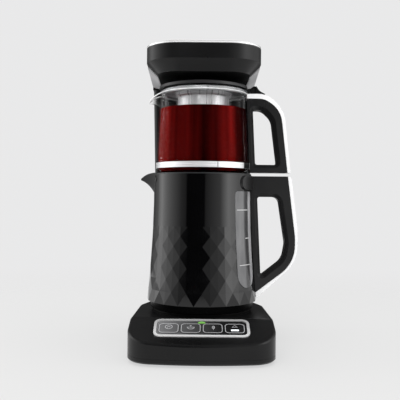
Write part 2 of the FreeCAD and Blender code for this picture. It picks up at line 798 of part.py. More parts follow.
fascia_cutters.append(
    lens_body(
        "LensOpening",
        size.panel_fit,
        -size.fascia_thickness - size.overcut,
        size.fascia_thickness + 3 * size.overcut,
    )
)
fascia_plate = cut("PanelFascia", fascia_block, *fascia_cutters)
key_top = size.fascia_rise + size.key_rise
key_foot = key_top - size.key_depth - size.key_rise
switch_top = key_foot - size.key_travel - size.switch_gap
board_top = switch_top - size.switch_height
fascia_shape = fascia_plate.Shape
post_low = size.key_bottom - size.key_clearance - size.post_radius - size.post_clearance
post_high = (
    size.key_bottom + size.key_length + size.key_clearance + size.post_radius + size.post_clearance
)
post_side = (opening_width / 2 - size.post_inset).value
for x in (-post_side, post_side):
    for y in (post_low.value, post_high.value):
        leg = post(
            x,
            y,
            size.post_radius.value,
            board_top.value,
            size.fascia_rise.value - size.fascia_thickness.value / 2,
        )
        fascia_shape = fascia_shape.fuse(leg)
shape_piece("panel_fascia", fascia_shape, SLOPE)
finish(
    "status_lens",
    lens_body(
        "StatusLens",
        0,
        size.fascia_rise - size.fascia_thickness,
        size.fascia_thickness + size.lens_rise,
    ),
    SLOPE,
)

for index in range(1, 5):
    key = new_body(f"Key{index}")
    left = key_middle(index) - key_width / 2
    right = key_middle(index) + key_width / 2
    high = size.key_bottom + size.key_length
    outline = [(left, size.key_bottom), (right, size.key_bottom), (right, high), (left, high)]
    pad(key, polygon_sketch(key, "XY_Plane", outline, offset=key_foot), key_top - key_foot)
    dress(key, "Fillet", upright, size.key_corner, "Corners")
    dress(
        key,
        "Fillet",
        lambda middle, along: middle.z > key_top.value - NEAR,
        size.key_rise / 2,
        "TopEdge",
    )
    finish(f"program_key_{index}", key, SLOPE)

group(
    "tact_switches",
    [
        Part.makeBox(
            size.switch_size.value,
            size.switch_size.value,
            size.switch_height.value,
            Vector(
                key_middle(index).value - size.switch_size.value / 2,
                key_middle_y.value - size.switch_size.value / 2,
                board_top.value,
            ),
        )
        for index in range(1, 5)
    ],
    SLOPE,
)
board = rounded_plate(
    "ControlBoard",
    opening_width - 2 * size.board_clearance,
    size.board_length,
    size.post_radius,
    size.board_thickness,
    panel_middle,
    board_top - size.board_thickness,
)
finish("control_board", board, SLOPE)


# ---------------------------------------------------------------------------
# Power base with the connector that the kettle turns on
# ---------------------------------------------------------------------------
pedestal_top = size.deck_height + size.pedestal_height
connector_top = size.deck_height + size.connector_height
power_base = turned(
    "PowerBase",
    [
        (size.tube_bore, size.deck_height),
        (size.pedestal_radius, size.deck_height),
        (size.pedestal_radius, pedestal_top),
        (size.connector_radius, pedestal_top),
        (size.connector_radius, connector_top),
        (size.tube_bore, connector_top),
    ],
)
dress(
    power_base,
    "Fillet",
    lambda middle, along: abs(middle.z - connector_top.value) < NEAR
    and math.hypot(middle.x, middle.y) > size.connector_radius.value - NEAR,
    size.connector_round,
    "ConnectorEdge",
)
dress(
    power_base,
    "Fillet",
    lambda middle, along: abs(middle.z - pedestal_top.value) < NEAR
    and math.hypot(middle.x, middle.y) > size.pedestal_radius.value - NEAR,
    size.pedestal_round,
    "PedestalEdge",
)
finish("power_connector", power_base)


# ---------------------------------------------------------------------------
# Kettle
# ---------------------------------------------------------------------------
def kettle_radius(height):
    """The kettle's outer radius: straight above its waist, flaring towards its foot."""
    waist = size.kettle_waist.value
    if height >= waist:
        slope = (size.kettle_top_radius.value - size.kettle_waist_radius.value) / (
            size.kettle_top.value - waist
        )
        return size.kettle_waist_radius.value + slope * (height - waist)
    depth = (waist - height) / (waist - size.kettle_bottom.value)
    flare = size.kettle_bottom_radius.value - size.kettle_waist_radius.value
    return size.kettle_waist_radius.value + flare * depth ** size.kettle_flare_power.value


def ring_point(radius, step, height):
    """A point of the facet grid, a half column per step."""
    turn = math.pi * step / size.facet_columns.value
    return Vector(radius * math.cos(turn), radius * math.sin(turn), height)


def facet_heights():
    """The rows of facet corners, closer together towards the top."""
    rows = int(size.facet_rows.value)
    bottom = size.kettle_bottom.value
    rise = size.facet_top.value - bottom
    shrink = size.facet_shrink.value
    total = rows - shrink * (rows - 1) / 2
    heights = [bottom]
    for row in range(rows):
        step = (1 - shrink * row / rows) * rise / total
        heights.append(heights[-1] + step)
    scale = rise / (heights[-1] - bottom)
    return [bottom + (height - bottom) * scale for height in heights]


def faceted_wall():
    """The lower wall: rows of upright diamonds, each dished a little about its centre.

    Corners of row n lie on the even half columns where n is even and on the odd ones where it is
    odd. Each diamond takes the corners above, below, left and right of it, and the rings at the
    foot and at the top are filled with half diamonds.
    """
    heights = facet_heights()
    columns = 2 * int(size.facet_columns.value)
    last = len(heights) - 1

    def corner(row, step):
        return ring_point(kettle_radius(heights[row]), step % columns, heights[row])

    def triangle(a, b, c):
        return Part.Face(Part.makePolygon([a, b, c, a]))

    faces = []
    for row in range(1, last):
        for step in range(row % 2, columns, 2):
            west, east = corner(row, step), corner(row, step + 2)
            south, north = corner(row - 1, step + 1), corner(row + 1, step + 1)
            middle_height = (south.z + north.z) / 2
            dished = kettle_radius(middle_height) - size.facet_depth.value
            centre = ring_point(dished, (step + 1) % columns, middle_height)
            faces += [
                triangle(south, east, centre),
                triangle(east, north, centre),
                triangle(north, west, centre),
                triangle(west, south, centre),
            ]
    for step in range(0, columns, 2):
        west, east = corner(0, step), corner(0, step + 2)
        foot = (west + east) / 2
        faces.append(triangle(west, foot, corner(1, step + 1)))
        faces.append(triangle(foot, east, corner(1, step + 1)))
    top_step = last % 2
    for step in range(top_step, columns + top_step, 2):
        west, east = corner(last, step), corner(last, step + 2)
        crown = ring_point(kettle_radius(heights[last]), (step + 1) % columns, heights[last])
        faces.append(triangle(corner(last - 1, step + 1), east, crown))
        faces.append(triangle(crown, west, corner(last - 1, step + 1)))
    foot_ring = []
    for step in range(0, columns, 2):
        foot_ring += [corner(0, step), (corner(0, step) + corner(0, step + 2)) / 2]
    faces.append(Part.Face(Part.makePolygon(foot_ring + foot_ring[:1])))
    top_ring = [
        ring_point(kettle_radius(heights[last]), step, heights[last]) for step in range(columns)
    ]
    faces.append(Part.Face(Part.makePolygon(top_ring + top_ring[:1])))
    shell = Part.Shell(faces)
    shell.sewShape()
    solid = Part.Solid(shell)
    if solid.Volume < 0:
        solid.reverse()
    return solid


def beak_loft(sections):
    """A smooth loft through V sections towards -X, each (reach, half width, top, bottom)."""
    wires = []
    for reach, half, top, bottom in sections:
        waist = half * size.beak_belly.value
        belly = bottom + size.beak_belly_rise.value * (top - bottom)
        through = [
            Vector(-reach, -half, top),
            Vector(-reach, -waist, belly),
            Vector(-reach, 0, bottom),
            Vector(-reach, waist, belly),
            Vector(-reach, half, top),
        ]
        curve = Part.BSplineCurve()
        curve.interpolate(through)
        wires.append(Part.Wire([curve.toShape(), Part.makeLine(through[-1], through[0])]))
    return Part.makeLoft(wires, True, False)


def beak(sections):
    """A pouring beak and the hollow within it, from its sections."""
    plain = [[number.value for number in section] for section in sections]
    skin = size.beak_wall.value
    inner = [
        (reach, half - skin, top + size.beak_opening.value, bottom + skin)
        for reach, half, top, bottom in plain
    ]
    inner[0] = (inner[0][0] - size.overcut.value, *inner[0][1:])
    inner[-1] = (inner[-1][0] + size.beak_overrun.value, *inner[-1][1:])
    return beak_loft(plain), beak_loft(inner)


def flare_heights():
    """Heights that carry the curve of the kettle's flare, from its foot up to its waist."""
    rise = size.kettle_waist - size.kettle_bottom
    return [size.kettle_bottom + share * rise for share in (0, 0.25, 0.5, 0.75, 1)]


upper_wall = turned(
    "KettleUpperWall",
    [
        (0, size.facet_top),
        (Size(kettle_radius(size.facet_top.value)), size.facet_top),
        (size.kettle_waist_radius, size.kettle_waist),
        (size.kettle_top_radius, size.kettle_top),
        (0, size.kettle_top),
    ],
)
kettle_beak, beak_hollow = beak(
    [
        (
            size.kettle_beak_root,
            size.kettle_beak_root_half,
            size.kettle_beak_root_top,
            size.kettle_beak_root_low,
        ),
        (
            size.kettle_beak_throat,
            size.kettle_beak_throat_half,
            size.kettle_beak_throat_top,
            size.kettle_beak_throat_low,
        ),
        (
            size.kettle_beak_neck,
            size.kettle_beak_neck_half,
            size.kettle_beak_neck_top,
            size.kettle_beak_neck_low,
        ),
        (
            size.kettle_beak_tip,
            size.kettle_beak_tip_half,
            size.kettle_beak_tip_top,
            size.kettle_beak_tip_low,
        ),
    ]
)
foot_inner = Size(kettle_radius(size.kettle_bottom.value)) - size.kettle_wall
kettle_hollow = turned(
    "KettleHollow",
    [(0, size.kettle_bottom - size.overcut), (foot_inner, size.kettle_bottom - size.overcut)]
    + [(Size(kettle_radius(height.value)) - size.kettle_wall, height) for height in flare_heights()]
    + [
        (size.kettle_top_radius - size.kettle_wall, size.kettle_top + size.overcut),
        (0, size.kettle_top + size.overcut),
    ],
)


def turned_face(points):
    """A solid of revolution about the upright axis from its half section (radius, height)."""
    outline = [Vector(radius, 0, height) for radius, height in points]
    face = Part.Face(Part.makePolygon(outline + outline[:1]))
    return face.revolve(Vector(0, 0, 0), Vector(0, 0, 1), 360)


def kettle_form(clearance):
    """The kettle's outer form without its facets, grown by a clearance and carried on past its ends."""
    low = size.kettle_bottom.value - size.handle_width.value
    high = size.kettle_top.value + size.handle_width.value
    flare = [(kettle_radius(height.value) + clearance, height.value) for height in flare_heights()]
    top_radius = size.kettle_top_radius.value + clearance
    return turned_face([(0, low), (flare[0][0], low)] + flare + [(top_radius, high), (0, high)])


def window_prism(clearance):
    """The level window's outline, squared above and round below, driven out at its bearing."""
    half = size.window_half.value + clearance
    bottom = size.window_bottom.value - clearance
    height = size.window_top.value + clearance - bottom
    reach = 2 * size.kettle_bottom_radius.value
    block = Part.makeBox(2 * half, reach, height, Vector(-half, -reach, bottom))

    def corners_at(level):
        return [
            edge
            for edge in block.Edges
            if abs(edge.tangentAt(edge.FirstParameter).y) > 0.9
            and abs(edge.CenterOfMass.z - level) < NEAR
        ]

    block = block.makeFillet(size.window_foot_round.value + clearance, corners_at(bottom))
    block = block.makeFillet(size.window_head_round.value + clearance, corners_at(bottom + height))
    block.rotate(Vector(0, 0, 0), Vector(0, 0, 1), size.window_bearing.value)
    return block


doc.recompute()
# The beak stands up beside the collar, which lies on the wall's top edge.
collar_space = Part.makeCylinder(
    size.kettle_top_radius.value,
    size.collar_depth.value,
    Vector(0, 0, size.kettle_top.value),
)
kettle_outer = faceted_wall().fuse(upper_wall.Shape).fuse(kettle_beak.cut(collar_space))
kettle_shape = kettle_outer.cut(kettle_hollow.Shape).cut(beak_hollow)
kettle_shape = kettle_shape.cut(window_prism(size.window_fit.value))
shape_piece("kettle_shell", kettle_shape)

# The window pane follows the wall, a little proud of it.
pane = kettle_form(size.window_proud.value).common(window_prism(0)).cut(kettle_hollow.Shape)
shape_piece("level_window", pane)

kettle_foot_top = size.kettle_bottom - size.seam
kettle_foot_bottom = pedestal_top + size.turning_gap
foot_ring_low = size.kettle_foot_radius - size.kettle_foot_taper
finish(
    "kettle_foot_ring",
    turned(
        "KettleFootRing",
        [
            (foot_ring_low - size.foot_ring_width, kettle_foot_bottom),
            (foot_ring_low, kettle_foot_bottom),
            (size.kettle_foot_radius, kettle_foot_top),
            (size.kettle_foot_radius - size.foot_ring_width, kettle_foot_top),
        ],
    ),
)
heater_bottom = size.kettle_bottom + size.rim_edge
heater_radius = foot_inner - size.heater_fit
finish(
    "heater_plate",
    turned(
        "HeaterPlate",
        [
            (0, heater_bottom + size.heater_step),
            (size.heater_dish, heater_bottom + size.heater_step),
            (size.heater_dish_edge, heater_bottom),
            (heater_radius, heater_bottom),
            (heater_radius, heater_bottom + size.heater_thickness),
            (0, heater_bottom + size.heater_thickness + size.heater_step),
        ],
    ),
)
socket_inner = size.connector_radius + size.socket_gap
socket_outer = foot_ring_low - size.foot_ring_width - size.seam
socket_top = heater_bottom + size.heater_step - size.seam
finish(
    "kettle_socket",
    turned(
        "KettleSocket",
        [
            (socket_inner, kettle_foot_bottom),
            (socket_outer, kettle_foot_bottom),
            (socket_outer, kettle_foot_bottom + size.socket_floor),
            (socket_inner + size.socket_wall, kettle_foot_bottom + size.socket_floor),
            (socket_inner + size.socket_wall, socket_top),
            (0, socket_top),
            (0, connector_top + size.turning_gap),
            (socket_inner, connector_top + size.turning_gap),
        ],
    ),
)
element = doc.addObject("Part::Torus", "HeaterElement")
bind(element, "Radius1", size.element_ring)
bind(element, "Radius2", size.element_radius)
bind(element, "Angle3", size.element_angle)
doc.recompute()
finish(
    "heater_element",
    element,
    FreeCAD.Placement(
        Vector(-footprint_shift, 0, heater_bottom.value - size.element_radius.value),
        FreeCAD.Rotation(),
    ),
)

collar_top = size.kettle_top + size.collar_thickness
finish(
    "kettle_collar",
    turned(
        "KettleCollar",
        [
            (size.collar_mouth_radius, size.kettle_top - size.collar_depth),
            (
                size.kettle_top_radius - size.kettle_wall - size.collar_fit,
                size.kettle_top - size.collar_depth,
            ),
            (size.kettle_top_radius - size.kettle_wall - size.collar_fit, size.kettle_top),
            (size.kettle_top_radius - size.rim_edge, size.kettle_top),
            (size.kettle_top_radius - size.rim_edge, collar_top),
            (size.collar_mouth_radius, collar_top),
        ],
    ),
)


# ---------------------------------------------------------------------------
# Handles: a loop seen from the front, with a bright strap round its outer edge
# ---------------------------------------------------------------------------
def outline_face(points, rounds):
    """A flat face on the XZ plane from its corners, with each inner corner rounded."""
    corners = [Vector(x, 0, z) for x, z in points]
    edges = []
    count = len(corners)
    starts, ends, arcs = [], [], []
    for index, corner in enumerate(corners):
        radius = rounds[index]
        before = (corners[index - 1] - corner).normalize()
        after = (corners[(index + 1) % count] - corner).normalize()
        if radius == 0:
            starts.append(corner)
            ends.append(corner)
            arcs.append(None)
            continue
        angle = before.getAngle(after)
        reach = radius / math.tan(angle / 2)
        bisector = (before + after).normalize()
        centre = corner + bisector * (radius / math.sin(angle / 2))
        starts.append(corner + before * reach)
        ends.append(corner + after * reach)
        arcs.append(centre - bisector * radius)
    for index in range(count):
        if arcs[index] is not None:
            edges.append(Part.Arc(starts[index], arcs[index], ends[index]).toShape())
        following = (index + 1) % count
        edges.append(Part.makeLine(ends[index], starts[following]))
    return Part.Face(Part.Wire(edges))


def slab(face, width):
    """The face widened evenly to both sides of the XZ plane."""
    solid = face.extrude(Vector(0, width, 0))
    solid.translate(Vector(0, -width / 2, 0))
    return solid


def handle_parts(outer, grip, hole, post_line, seat):
    """A handle's grip and the strap round it: outer, grip and hole are (corners, rounds).

    The strap fills the outer outline round the grip. The hole's edges are bevelled, except beside
    the post that lies along the vessel, and both pieces are cut to seat on it.
    """
    width = size.handle_width.value
    whole = outline_face(*outer)
    core = outline_face(*grip)
    opening = outline_face(*hole)
    core_solid = slab(core, width).cut(slab(opening, 2 * width))
    bevelled = []
    for edge in core_solid.Edges:
        middle = edge.valueAt((edge.FirstParameter + edge.LastParameter) / 2)
        on_face = abs(abs(middle.y) - width / 2) < NEAR
        spot = Part.Vertex(middle.x, 0, middle.z)
        if on_face and middle.x > post_line and opening.OuterWire.distToShape(spot)[0] < NEAR:
            bevelled.append(edge)
    core_solid = core_solid.makeChamfer(size.handle_bevel.value, bevelled)
    band = slab(whole.cut(core), width - 2 * size.strap_inset.value)
    return core_solid.cut(seat), band.cut(seat)


kettle_root = size.kettle_top_radius.value - size.handle_root.value
heel_reach = size.kettle_handle_reach - size.kettle_heel_back
kettle_turns = [size.kettle_elbow_round.value, size.kettle_heel_round.value, 0, 0]
kettle_handle_outer = (
    [
        (kettle_root, size.kettle_handle_top.value),
        (size.kettle_handle_top_reach.value, size.kettle_handle_top.value),
        (size.kettle_handle_reach.value, size.kettle_handle_elbow.value),
        (heel_reach.value, size.kettle_handle_heel.value),
        (size.kettle_handle_foot_reach.value, size.kettle_handle_bottom.value),
        (kettle_root, size.kettle_handle_bottom.value),
    ],
    [0, size.kettle_handle_corner.value] + kettle_turns,
)
grip_elbow = size.kettle_handle_elbow - size.kettle_strap_elbow_drop
grip_heel = size.kettle_handle_heel - size.kettle_strap_heel_drop
grip_foot = size.kettle_handle_bottom + size.kettle_strap_foot_rise
kettle_handle_grip = (
    [
        (kettle_root, size.kettle_handle_top.value),
        ((size.kettle_handle_top_reach - size.kettle_strap_top).value, size.kettle_handle_top.value),
        ((size.kettle_handle_reach - size.kettle_strap).value, grip_elbow.value),
        ((heel_reach - size.kettle_strap).value, grip_heel.value),
        ((size.kettle_handle_foot_reach - size.kettle_strap_foot).value, grip_foot.value),
        (kettle_root, grip_foot.value),
    ],
    [0, 0] + kettle_turns,
)
kettle_post_top = size.kettle_top_radius.value + size.kettle_post.value
kettle_post_foot = kettle_radius(size.kettle_hole_bottom.value) + size.kettle_post.value
kettle_handle_hole = (
    [
        (kettle_post_top, size.kettle_hole_top.value),
        (size.kettle_handle_top_reach.value - size.kettle_grip_top.value, size.kettle_hole_top.value),
        (size.kettle_handle_reach.value - size.kettle_grip.value, size.kettle_hole_elbow.value),
        (heel_reach.value - size.kettle_grip_heel.value, size.kettle_hole_heel.value),
        (kettle_post_foot, size.kettle_hole_bottom.value),
    ],
    [
        size.kettle_hole_corner.value,
        size.kettle_hole_round.value,
        2 * size.kettle_hole_round.value,
        size.kettle_hole_heel_round.value,
        size.kettle_hole_foot_round.value,
    ],
)
bevel_start = size.handle_bevel_start.value
handle, strap = handle_parts(
    kettle_handle_outer,
    kettle_handle_grip,
    kettle_handle_hole,
    kettle_post_foot + bevel_start,
    kettle_form(size.handle_fit.value),
)


def saddle():
    """The pad at the handle's root, wrapped round the wall below the collar."""
    half = size.saddle_half.value
    bottom = size.saddle_bottom.value
    top = size.kettle_handle_top.value
    reach = 2 * size.kettle_bottom_radius.value
    block = Part.makeBox(reach, 2 * half, top - bottom, Vector(0, -half, bottom))
    corners = [e for e in block.Edges if abs(e.tangentAt(e.FirstParameter).x) > 0.9]
    block = block.makeFillet(size.saddle_round.value, corners)
    fit = size.handle_fit.value
    skin = kettle_form(fit + size.saddle_thickness.value).common(block)
    return skin.cut(kettle_form(fit))


shape_piece("kettle_handle", handle.fuse(saddle()))
shape_piece("kettle_handle_strap", strap)


# ---------------------------------------------------------------------------
# Teapot
# ---------------------------------------------------------------------------
pot_bottom = collar_top + size.pot_gap
pot_belly = pot_bottom + size.pot_base_round + size.pot_belly_rise
bead_bottom = size.pot_top - size.pot_bead_height
bead_radius = size.pot_top_radius + size.pot_bead
glass_outer = turned(
    "GlassOuter",
    [
        (0, pot_bottom),
        (size.pot_bottom_radius - size.pot_base_round, pot_bottom),
        (size.pot_bottom_radius, pot_bottom + size.pot_base_round),
        (size.pot_bottom_radius, pot_belly),
        (size.pot_top_radius, bead_bottom - size.pot_bead),
        (bead_radius, bead_bottom),
        (bead_radius, size.pot_top - size.pot_bead_round),
        (bead_radius - size.pot_bead_round, size.pot_top),
        (0, size.pot_top),
    ],
)
glass_hollow = turned(
    "GlassHollow",
    [
        (0, pot_bottom + size.glass),
        (size.pot_bottom_radius - size.pot_base_round - size.glass / 2, pot_bottom + size.glass),
        (size.pot_bottom_radius - size.glass, pot_bottom + size.pot_base_round + size.glass / 2),
        (size.pot_bottom_radius - size.glass, pot_belly),
        (size.pot_top_radius - size.glass, size.pot_top),
        (size.pot_top_radius - size.glass, size.pot_top + size.overcut),
        (0, size.pot_top + size.overcut),
    ],
)
doc.recompute()
pot_beak_sections = [
    (size.pot_beak_root, size.pot_beak_root_half, size.pot_beak_root_top, size.pot_beak_root_low),
    (
        size.pot_beak_throat,
        size.pot_beak_throat_half,
        size.pot_beak_throat_top,
        size.pot_beak_throat_low,
    ),
    (size.pot_beak_neck, size.pot_beak_neck_half, size.pot_beak_neck_top, size.pot_beak_neck_low),
    (size.pot_beak_tip, size.pot_beak_tip_half, size.pot_beak_tip_top, size.pot_beak_tip_low),
]
pot_beak, pot_beak_hollow = beak(pot_beak_sections)


def above_pouring_line():
    """All above the line in which the rim falls to the beak's tip, as seen from the front."""
    start = (size.pour_start, size.pot_top + size.pour_start_rise)
    points = [start] + [(reach, top - size.pour_drop) for reach, _, top, _ in pot_beak_sections]
    line = [Vector(-reach.value, 0, height.value) for reach, height in points]
    curve = Part.BSplineCurve()
    curve.interpolate(line)
    high = size.pot_top.value + size.handle_width.value
    beyond = line[-1] - Vector(size.overcut.value, 0, size.overcut.value)
    corners = [line[-1], beyond, Vector(beyond.x, 0, high), Vector(line[0].x, 0, high), line[0]]
    sides = [Part.makeLine(a, b) for a, b in zip(corners, corners[1:])]
    return slab(Part.Face(Part.Wire([curve.toShape()] + sides)), 2 * size.pot_top_radius.value)


glass_shape = glass_outer.Shape.fuse(pot_beak).cut(glass_hollow.Shape).cut(pot_beak_hollow)
shape_piece("pot_glass", glass_shape.cut(above_pouring_line()))

band_inner = size.pot_bottom_radius + size.band_fit
band_outer = band_inner + size.band_thickness
finish(
    "pot_clamp_band",
    turned(
        "ClampBand",
        [
            (band_inner, size.band_bottom),
            (band_outer, size.band_bottom),
            (band_outer, size.band_top),
            (band_inner, size.band_top),
        ],
    ),
)

ring_outer = size.pot_top_radius - size.glass - size.ring_fit
mouth_ring_top = size.pot_top + size.ring_rise
basket_seat = size.pot_top - size.basket_sink
ring_inner = size.basket_neck_radius + size.ring_fit
finish(
    "pot_mouth_ring",
    turned(
        "MouthRing",
        [
            (ring_inner, basket_seat - size.ring_ledge),
            (ring_outer - size.ring_skirt, basket_seat - size.ring_ledge),
            (ring_outer - size.ring_skirt, size.pot_top - size.ring_depth),
            (ring_outer, size.pot_top - size.ring_depth),
            (ring_outer, mouth_ring_top),
            (size.basket_rim_radius + size.ring_lip, mouth_ring_top),
            (size.basket_rim_radius + size.ring_fit, basket_seat),
            (ring_inner, basket_seat),
        ],
    ),
)
neck_bottom = basket_seat - size.basket_neck_depth
basket = turned(
    "TeaBasket",
    [
        (0, size.basket_bottom),
        (size.basket_radius, size.basket_bottom),
        (size.basket_radius, neck_bottom - size.basket_neck_slope),
        (size.basket_neck_radius, neck_bottom),
        (size.basket_neck_radius, basket_seat),
        (size.basket_rim_radius, basket_seat),
        (size.basket_rim_radius, basket_seat + size.basket_wall),
        (size.basket_neck_radius - size.basket_wall, basket_seat + size.basket_wall),
        (size.basket_neck_radius - size.basket_wall, neck_bottom),
        (size.basket_radius - size.basket_wall, neck_bottom - size.basket_neck_slope),
        (size.basket_radius - size.basket_wall, size.basket_bottom + size.basket_wall),
        (0, size.basket_bottom + size.basket_wall),
    ],
)
slot = polygon_sketch(
    basket,
    "XZ_Plane",
    [
        (-size.basket_slot_width / 2, size.basket_slot_bottom),
        (size.basket_slot_width / 2, size.basket_slot_bottom),
        (size.basket_slot_width / 2, size.basket_slot_top),
        (-size.basket_slot_width / 2, size.basket_slot_top),
    ],
    name="Slot",
)
slot_cut = pocket(basket, slot, 2 * size.basket_radius)
slots = basket.newObject("PartDesign::PolarPattern", "BasketSlots")
slots.Originals = [slot_cut]
slots.Axis = (plane_of(basket, "Z_Axis"), [""])
slots.Angle = 360
bind(slots, "Occurrences", size.basket_slots)
basket.Tip = slots
doc.recompute()
finish("tea_basket", basket)


def pot_seat():
    """The glass and its clamp band as the handle's post meets them."""
    fit = size.handle_fit.value
    low = pot_bottom.value - size.handle_width.value
    high = size.pot_top.value + size.handle_width.value
    band = band_outer.value + fit
    belly = size.pot_bottom_radius.value + fit
    mouth = size.pot_top_radius.value + fit
    bead = bead_radius.value + fit
    above_band = (size.band_top + size.overcut / 2).value
    return turned_face(
        [
            (0, low),
            (band, low),
            (band, above_band),
            (belly, above_band),
            (belly, pot_belly.value),
            (mouth, bead_bottom.value - size.pot_bead.value - fit),
            (bead, bead_bottom.value - fit),
            (bead, high),
            (0, high),
        ]
    )


pot_root = size.pot_top_radius.value - size.handle_root.value
elbow_reach = size.pot_handle_shoulder + size.pot_elbow_ahead
elbow_height = size.pot_handle_top - size.pot_elbow_drop
pot_handle_outer = (
    [
        (pot_root, size.pot_handle_top.value),
        (size.pot_handle_shoulder.value, size.pot_handle_top.value),
        (elbow_reach.value, elbow_height.value),
        (size.pot_handle_reach.value, size.pot_handle_bottom.value),
        (pot_root, size.pot_handle_bottom.value),
    ],
    [0, size.pot_shoulder_round.value, size.pot_elbow_round.value, 0, 0],
)
grip_top = size.pot_handle_top - size.pot_strap_top
grip_elbow = elbow_height - size.pot_strap_elbow_drop
pot_handle_grip = (
    [
        (pot_root, grip_top.value),
        (size.pot_handle_shoulder.value, grip_top.value),
        ((elbow_reach - size.pot_strap_elbow).value, grip_elbow.value),
        ((size.pot_handle_reach - size.pot_strap_foot).value, size.pot_handle_bottom.value),
        (pot_root, size.pot_handle_bottom.value),
    ],
    [0, size.pot_shoulder_round.value, size.pot_strap_elbow_round.value, 0, 0],
)
pot_post_top = size.pot_top_radius.value + size.pot_post.value
pot_post_foot = size.pot_bottom_radius.value + size.pot_post.value
pot_handle_hole = (
    [
        (pot_post_top, size.pot_hole_top.value),
        (size.pot_hole_shoulder.value, size.pot_hole_top.value),
        (size.pot_hole_elbow_reach.value, size.pot_hole_elbow.value),
        (size.pot_handle_reach.value - size.pot_grip.value, size.pot_hole_bottom.value),
        (pot_post_foot, size.pot_hole_bottom.value),
    ],
    [
        size.pot_hole_corner.value,
        size.pot_hole_shoulder_round.value,
        size.pot_hole_elbow_round.value,
        size.pot_hole_corner.value,
        size.pot_hole_corner.value,
    ],
)
handle, strap = handle_parts(
    pot_handle_outer,
    pot_handle_grip,
    pot_handle_hole,
    pot_post_foot + bevel_start,
    pot_seat(),
)
shape_piece("pot_handle", handle)
shape_piece("pot_handle_strap", strap)


# ---------------------------------------------------------------------------
# Lid with its lever and hinge
# ---------------------------------------------------------------------------
lid_disc = turned(
    "LidDisc",
    [
        (size.lid_hole_radius, size.lid_bottom),
        (size.lid_radius, size.lid_bottom),
        (size.lid_radius, size.lid_top),
        (size.lid_hole_radius, size.lid_top),
    ],
)
dress(
    lid_disc,
    "Fillet",
    lambda middle, along: abs(middle.z - size.lid_top.value) < NEAR
    and math.hypot(middle.x, middle.y) > size.lid_radius.value - NEAR,
    size.lid_edge_round,
    "Edge",
)
finish("pot_lid", lid_disc)
gasket_bottom = mouth_ring_top + size.lid_clearance
finish(
    "lid_gasket",
    turned(
        "LidGasket",
        [
            (size.gasket_radius - size.gasket_width, gasket_bottom),
            (size.gasket_radius, gasket_bottom),
            (size.gasket_radius, size.lid_bottom),
            (size.gasket_radius - size.gasket_width, size.lid_bottom),
        ],
    ),
)

bracket_top = size.pot_handle_top + size.bracket_thickness
hinge_height = bracket_top + size.hinge_gap + size.knuckle_radius
hinge_x = size.hinge_reach.value
hinge_z = hinge_height.value
knuckle = size.knuckle_radius.value
ear_inner = size.knuckle_width.value / 2 + size.lid_clearance.value
ear_outer = ear_inner + size.ear_width.value


def across_y(radius, half_width, x=hinge_x, z=hinge_z):
    """A cylinder along the hinge's axis, centred on the machine's middle plane."""
    return Part.makeCylinder(radius, 2 * half_width, Vector(x, -half_width, z), Vector(0, 1, 0))


def ear(side):
    """One ear of the bracket: a round eye on a foot as wide as the eye."""
    start = ear_inner if side > 0 else -ear_outer
    eye = Part.makeCylinder(
        knuckle, size.ear_width.value, Vector(hinge_x, start, hinge_z), Vector(0, 1, 0)
    )
    foot = Part.makeBox(
        2 * knuckle,
        size.ear_width.value,
        hinge_z - size.pot_handle_top.value,
        Vector(hinge_x - knuckle, start, size.pot_handle_top.value),
    )
    return eye.fuse(foot)


bracket = Part.makeBox(
    2 * knuckle,
    2 * ear_outer,
    size.bracket_thickness.value,
    Vector(hinge_x - knuckle, -ear_outer, size.pot_handle_top.value),
)
bracket = bracket.fuse(ear(1)).fuse(ear(-1)).cut(across_y(size.hinge_pin_radius.value, 2 * ear_outer))
shape_piece("lid_hinge_bracket", bracket)

pin = doc.addObject("Part::Cylinder", "HingePin")
bind(pin, "Radius", size.hinge_pin_radius)
bind(pin, "Height", size.knuckle_width + 2 * size.lid_clearance + 2 * size.ear_width)
doc.recompute()
finish(
    "lid_hinge_pin",
    pin,
    FreeCAD.Placement(
        Vector(hinge_x - footprint_shift, ear_outer, hinge_z),
        FreeCAD.Rotation(Vector(1, 0, 0), 90),
    ),
)


def lever_profile():
    """The thumb lever from the front: a root at the lid's edge, a rounded peak and a sloping tail."""
    low = (size.lid_bottom + size.lever_root_gap).value
    root = (size.lid_radius + size.lever_root_gap).value
    reach = size.lever_reach.value
    flat = (size.pot_handle_top + size.lever_swing).value
    tail = flat - size.lever_tail.value
    corners = [
        (root, low),
        (root, low + size.lever_root_rise.value),
        (hinge_x - size.lever_neck.value, low + size.lever_neck_rise.value),
        (hinge_x + size.lever_peak_ahead.value, size.lever_peak.value),
        (hinge_x + size.lever_slope.value, flat + size.lever_slope_rise.value),
        (reach, tail + size.lever_tail_rise.value),
        (reach, tail),
        (reach - size.lever_flat.value, flat),
        (hinge_x + knuckle + size.hinge_gap.value, flat),
        (hinge_x + knuckle, hinge_z),
        (hinge_x - knuckle, hinge_z),
        (hinge_x - knuckle, low),
    ]
    neck, peak, slope = (
        size.lever_neck_round.value,
        size.lever_peak_round.value,
        size.lever_slope_round.value,
    )
    return outline_face(corners, [0, 0, neck, peak, slope] + 7 * [0])


# The lever runs between the ears at the hinge and is wider beyond them.
lever = slab(lever_profile(), 2 * size.lever_half.value)
block_side = 2 * size.lever_reach.value
for start in (-size.knuckle_width.value / 2 - block_side, size.knuckle_width.value / 2):
    beside_ear = Part.makeBox(
        block_side,
        block_side,
        block_side,
        Vector(
            hinge_x + knuckle + size.hinge_gap.value - block_side,
            start,
            size.pot_handle_top.value,
        ),
    )
    lever = lever.cut(beside_ear)
lever = lever.fuse(across_y(knuckle, size.knuckle_width.value / 2))
pin_bore = size.hinge_pin_radius.value + size.hinge_running_fit.value
lever = lever.cut(across_y(pin_bore, 2 * ear_outer))
shape_piece("lid_lever", lever)


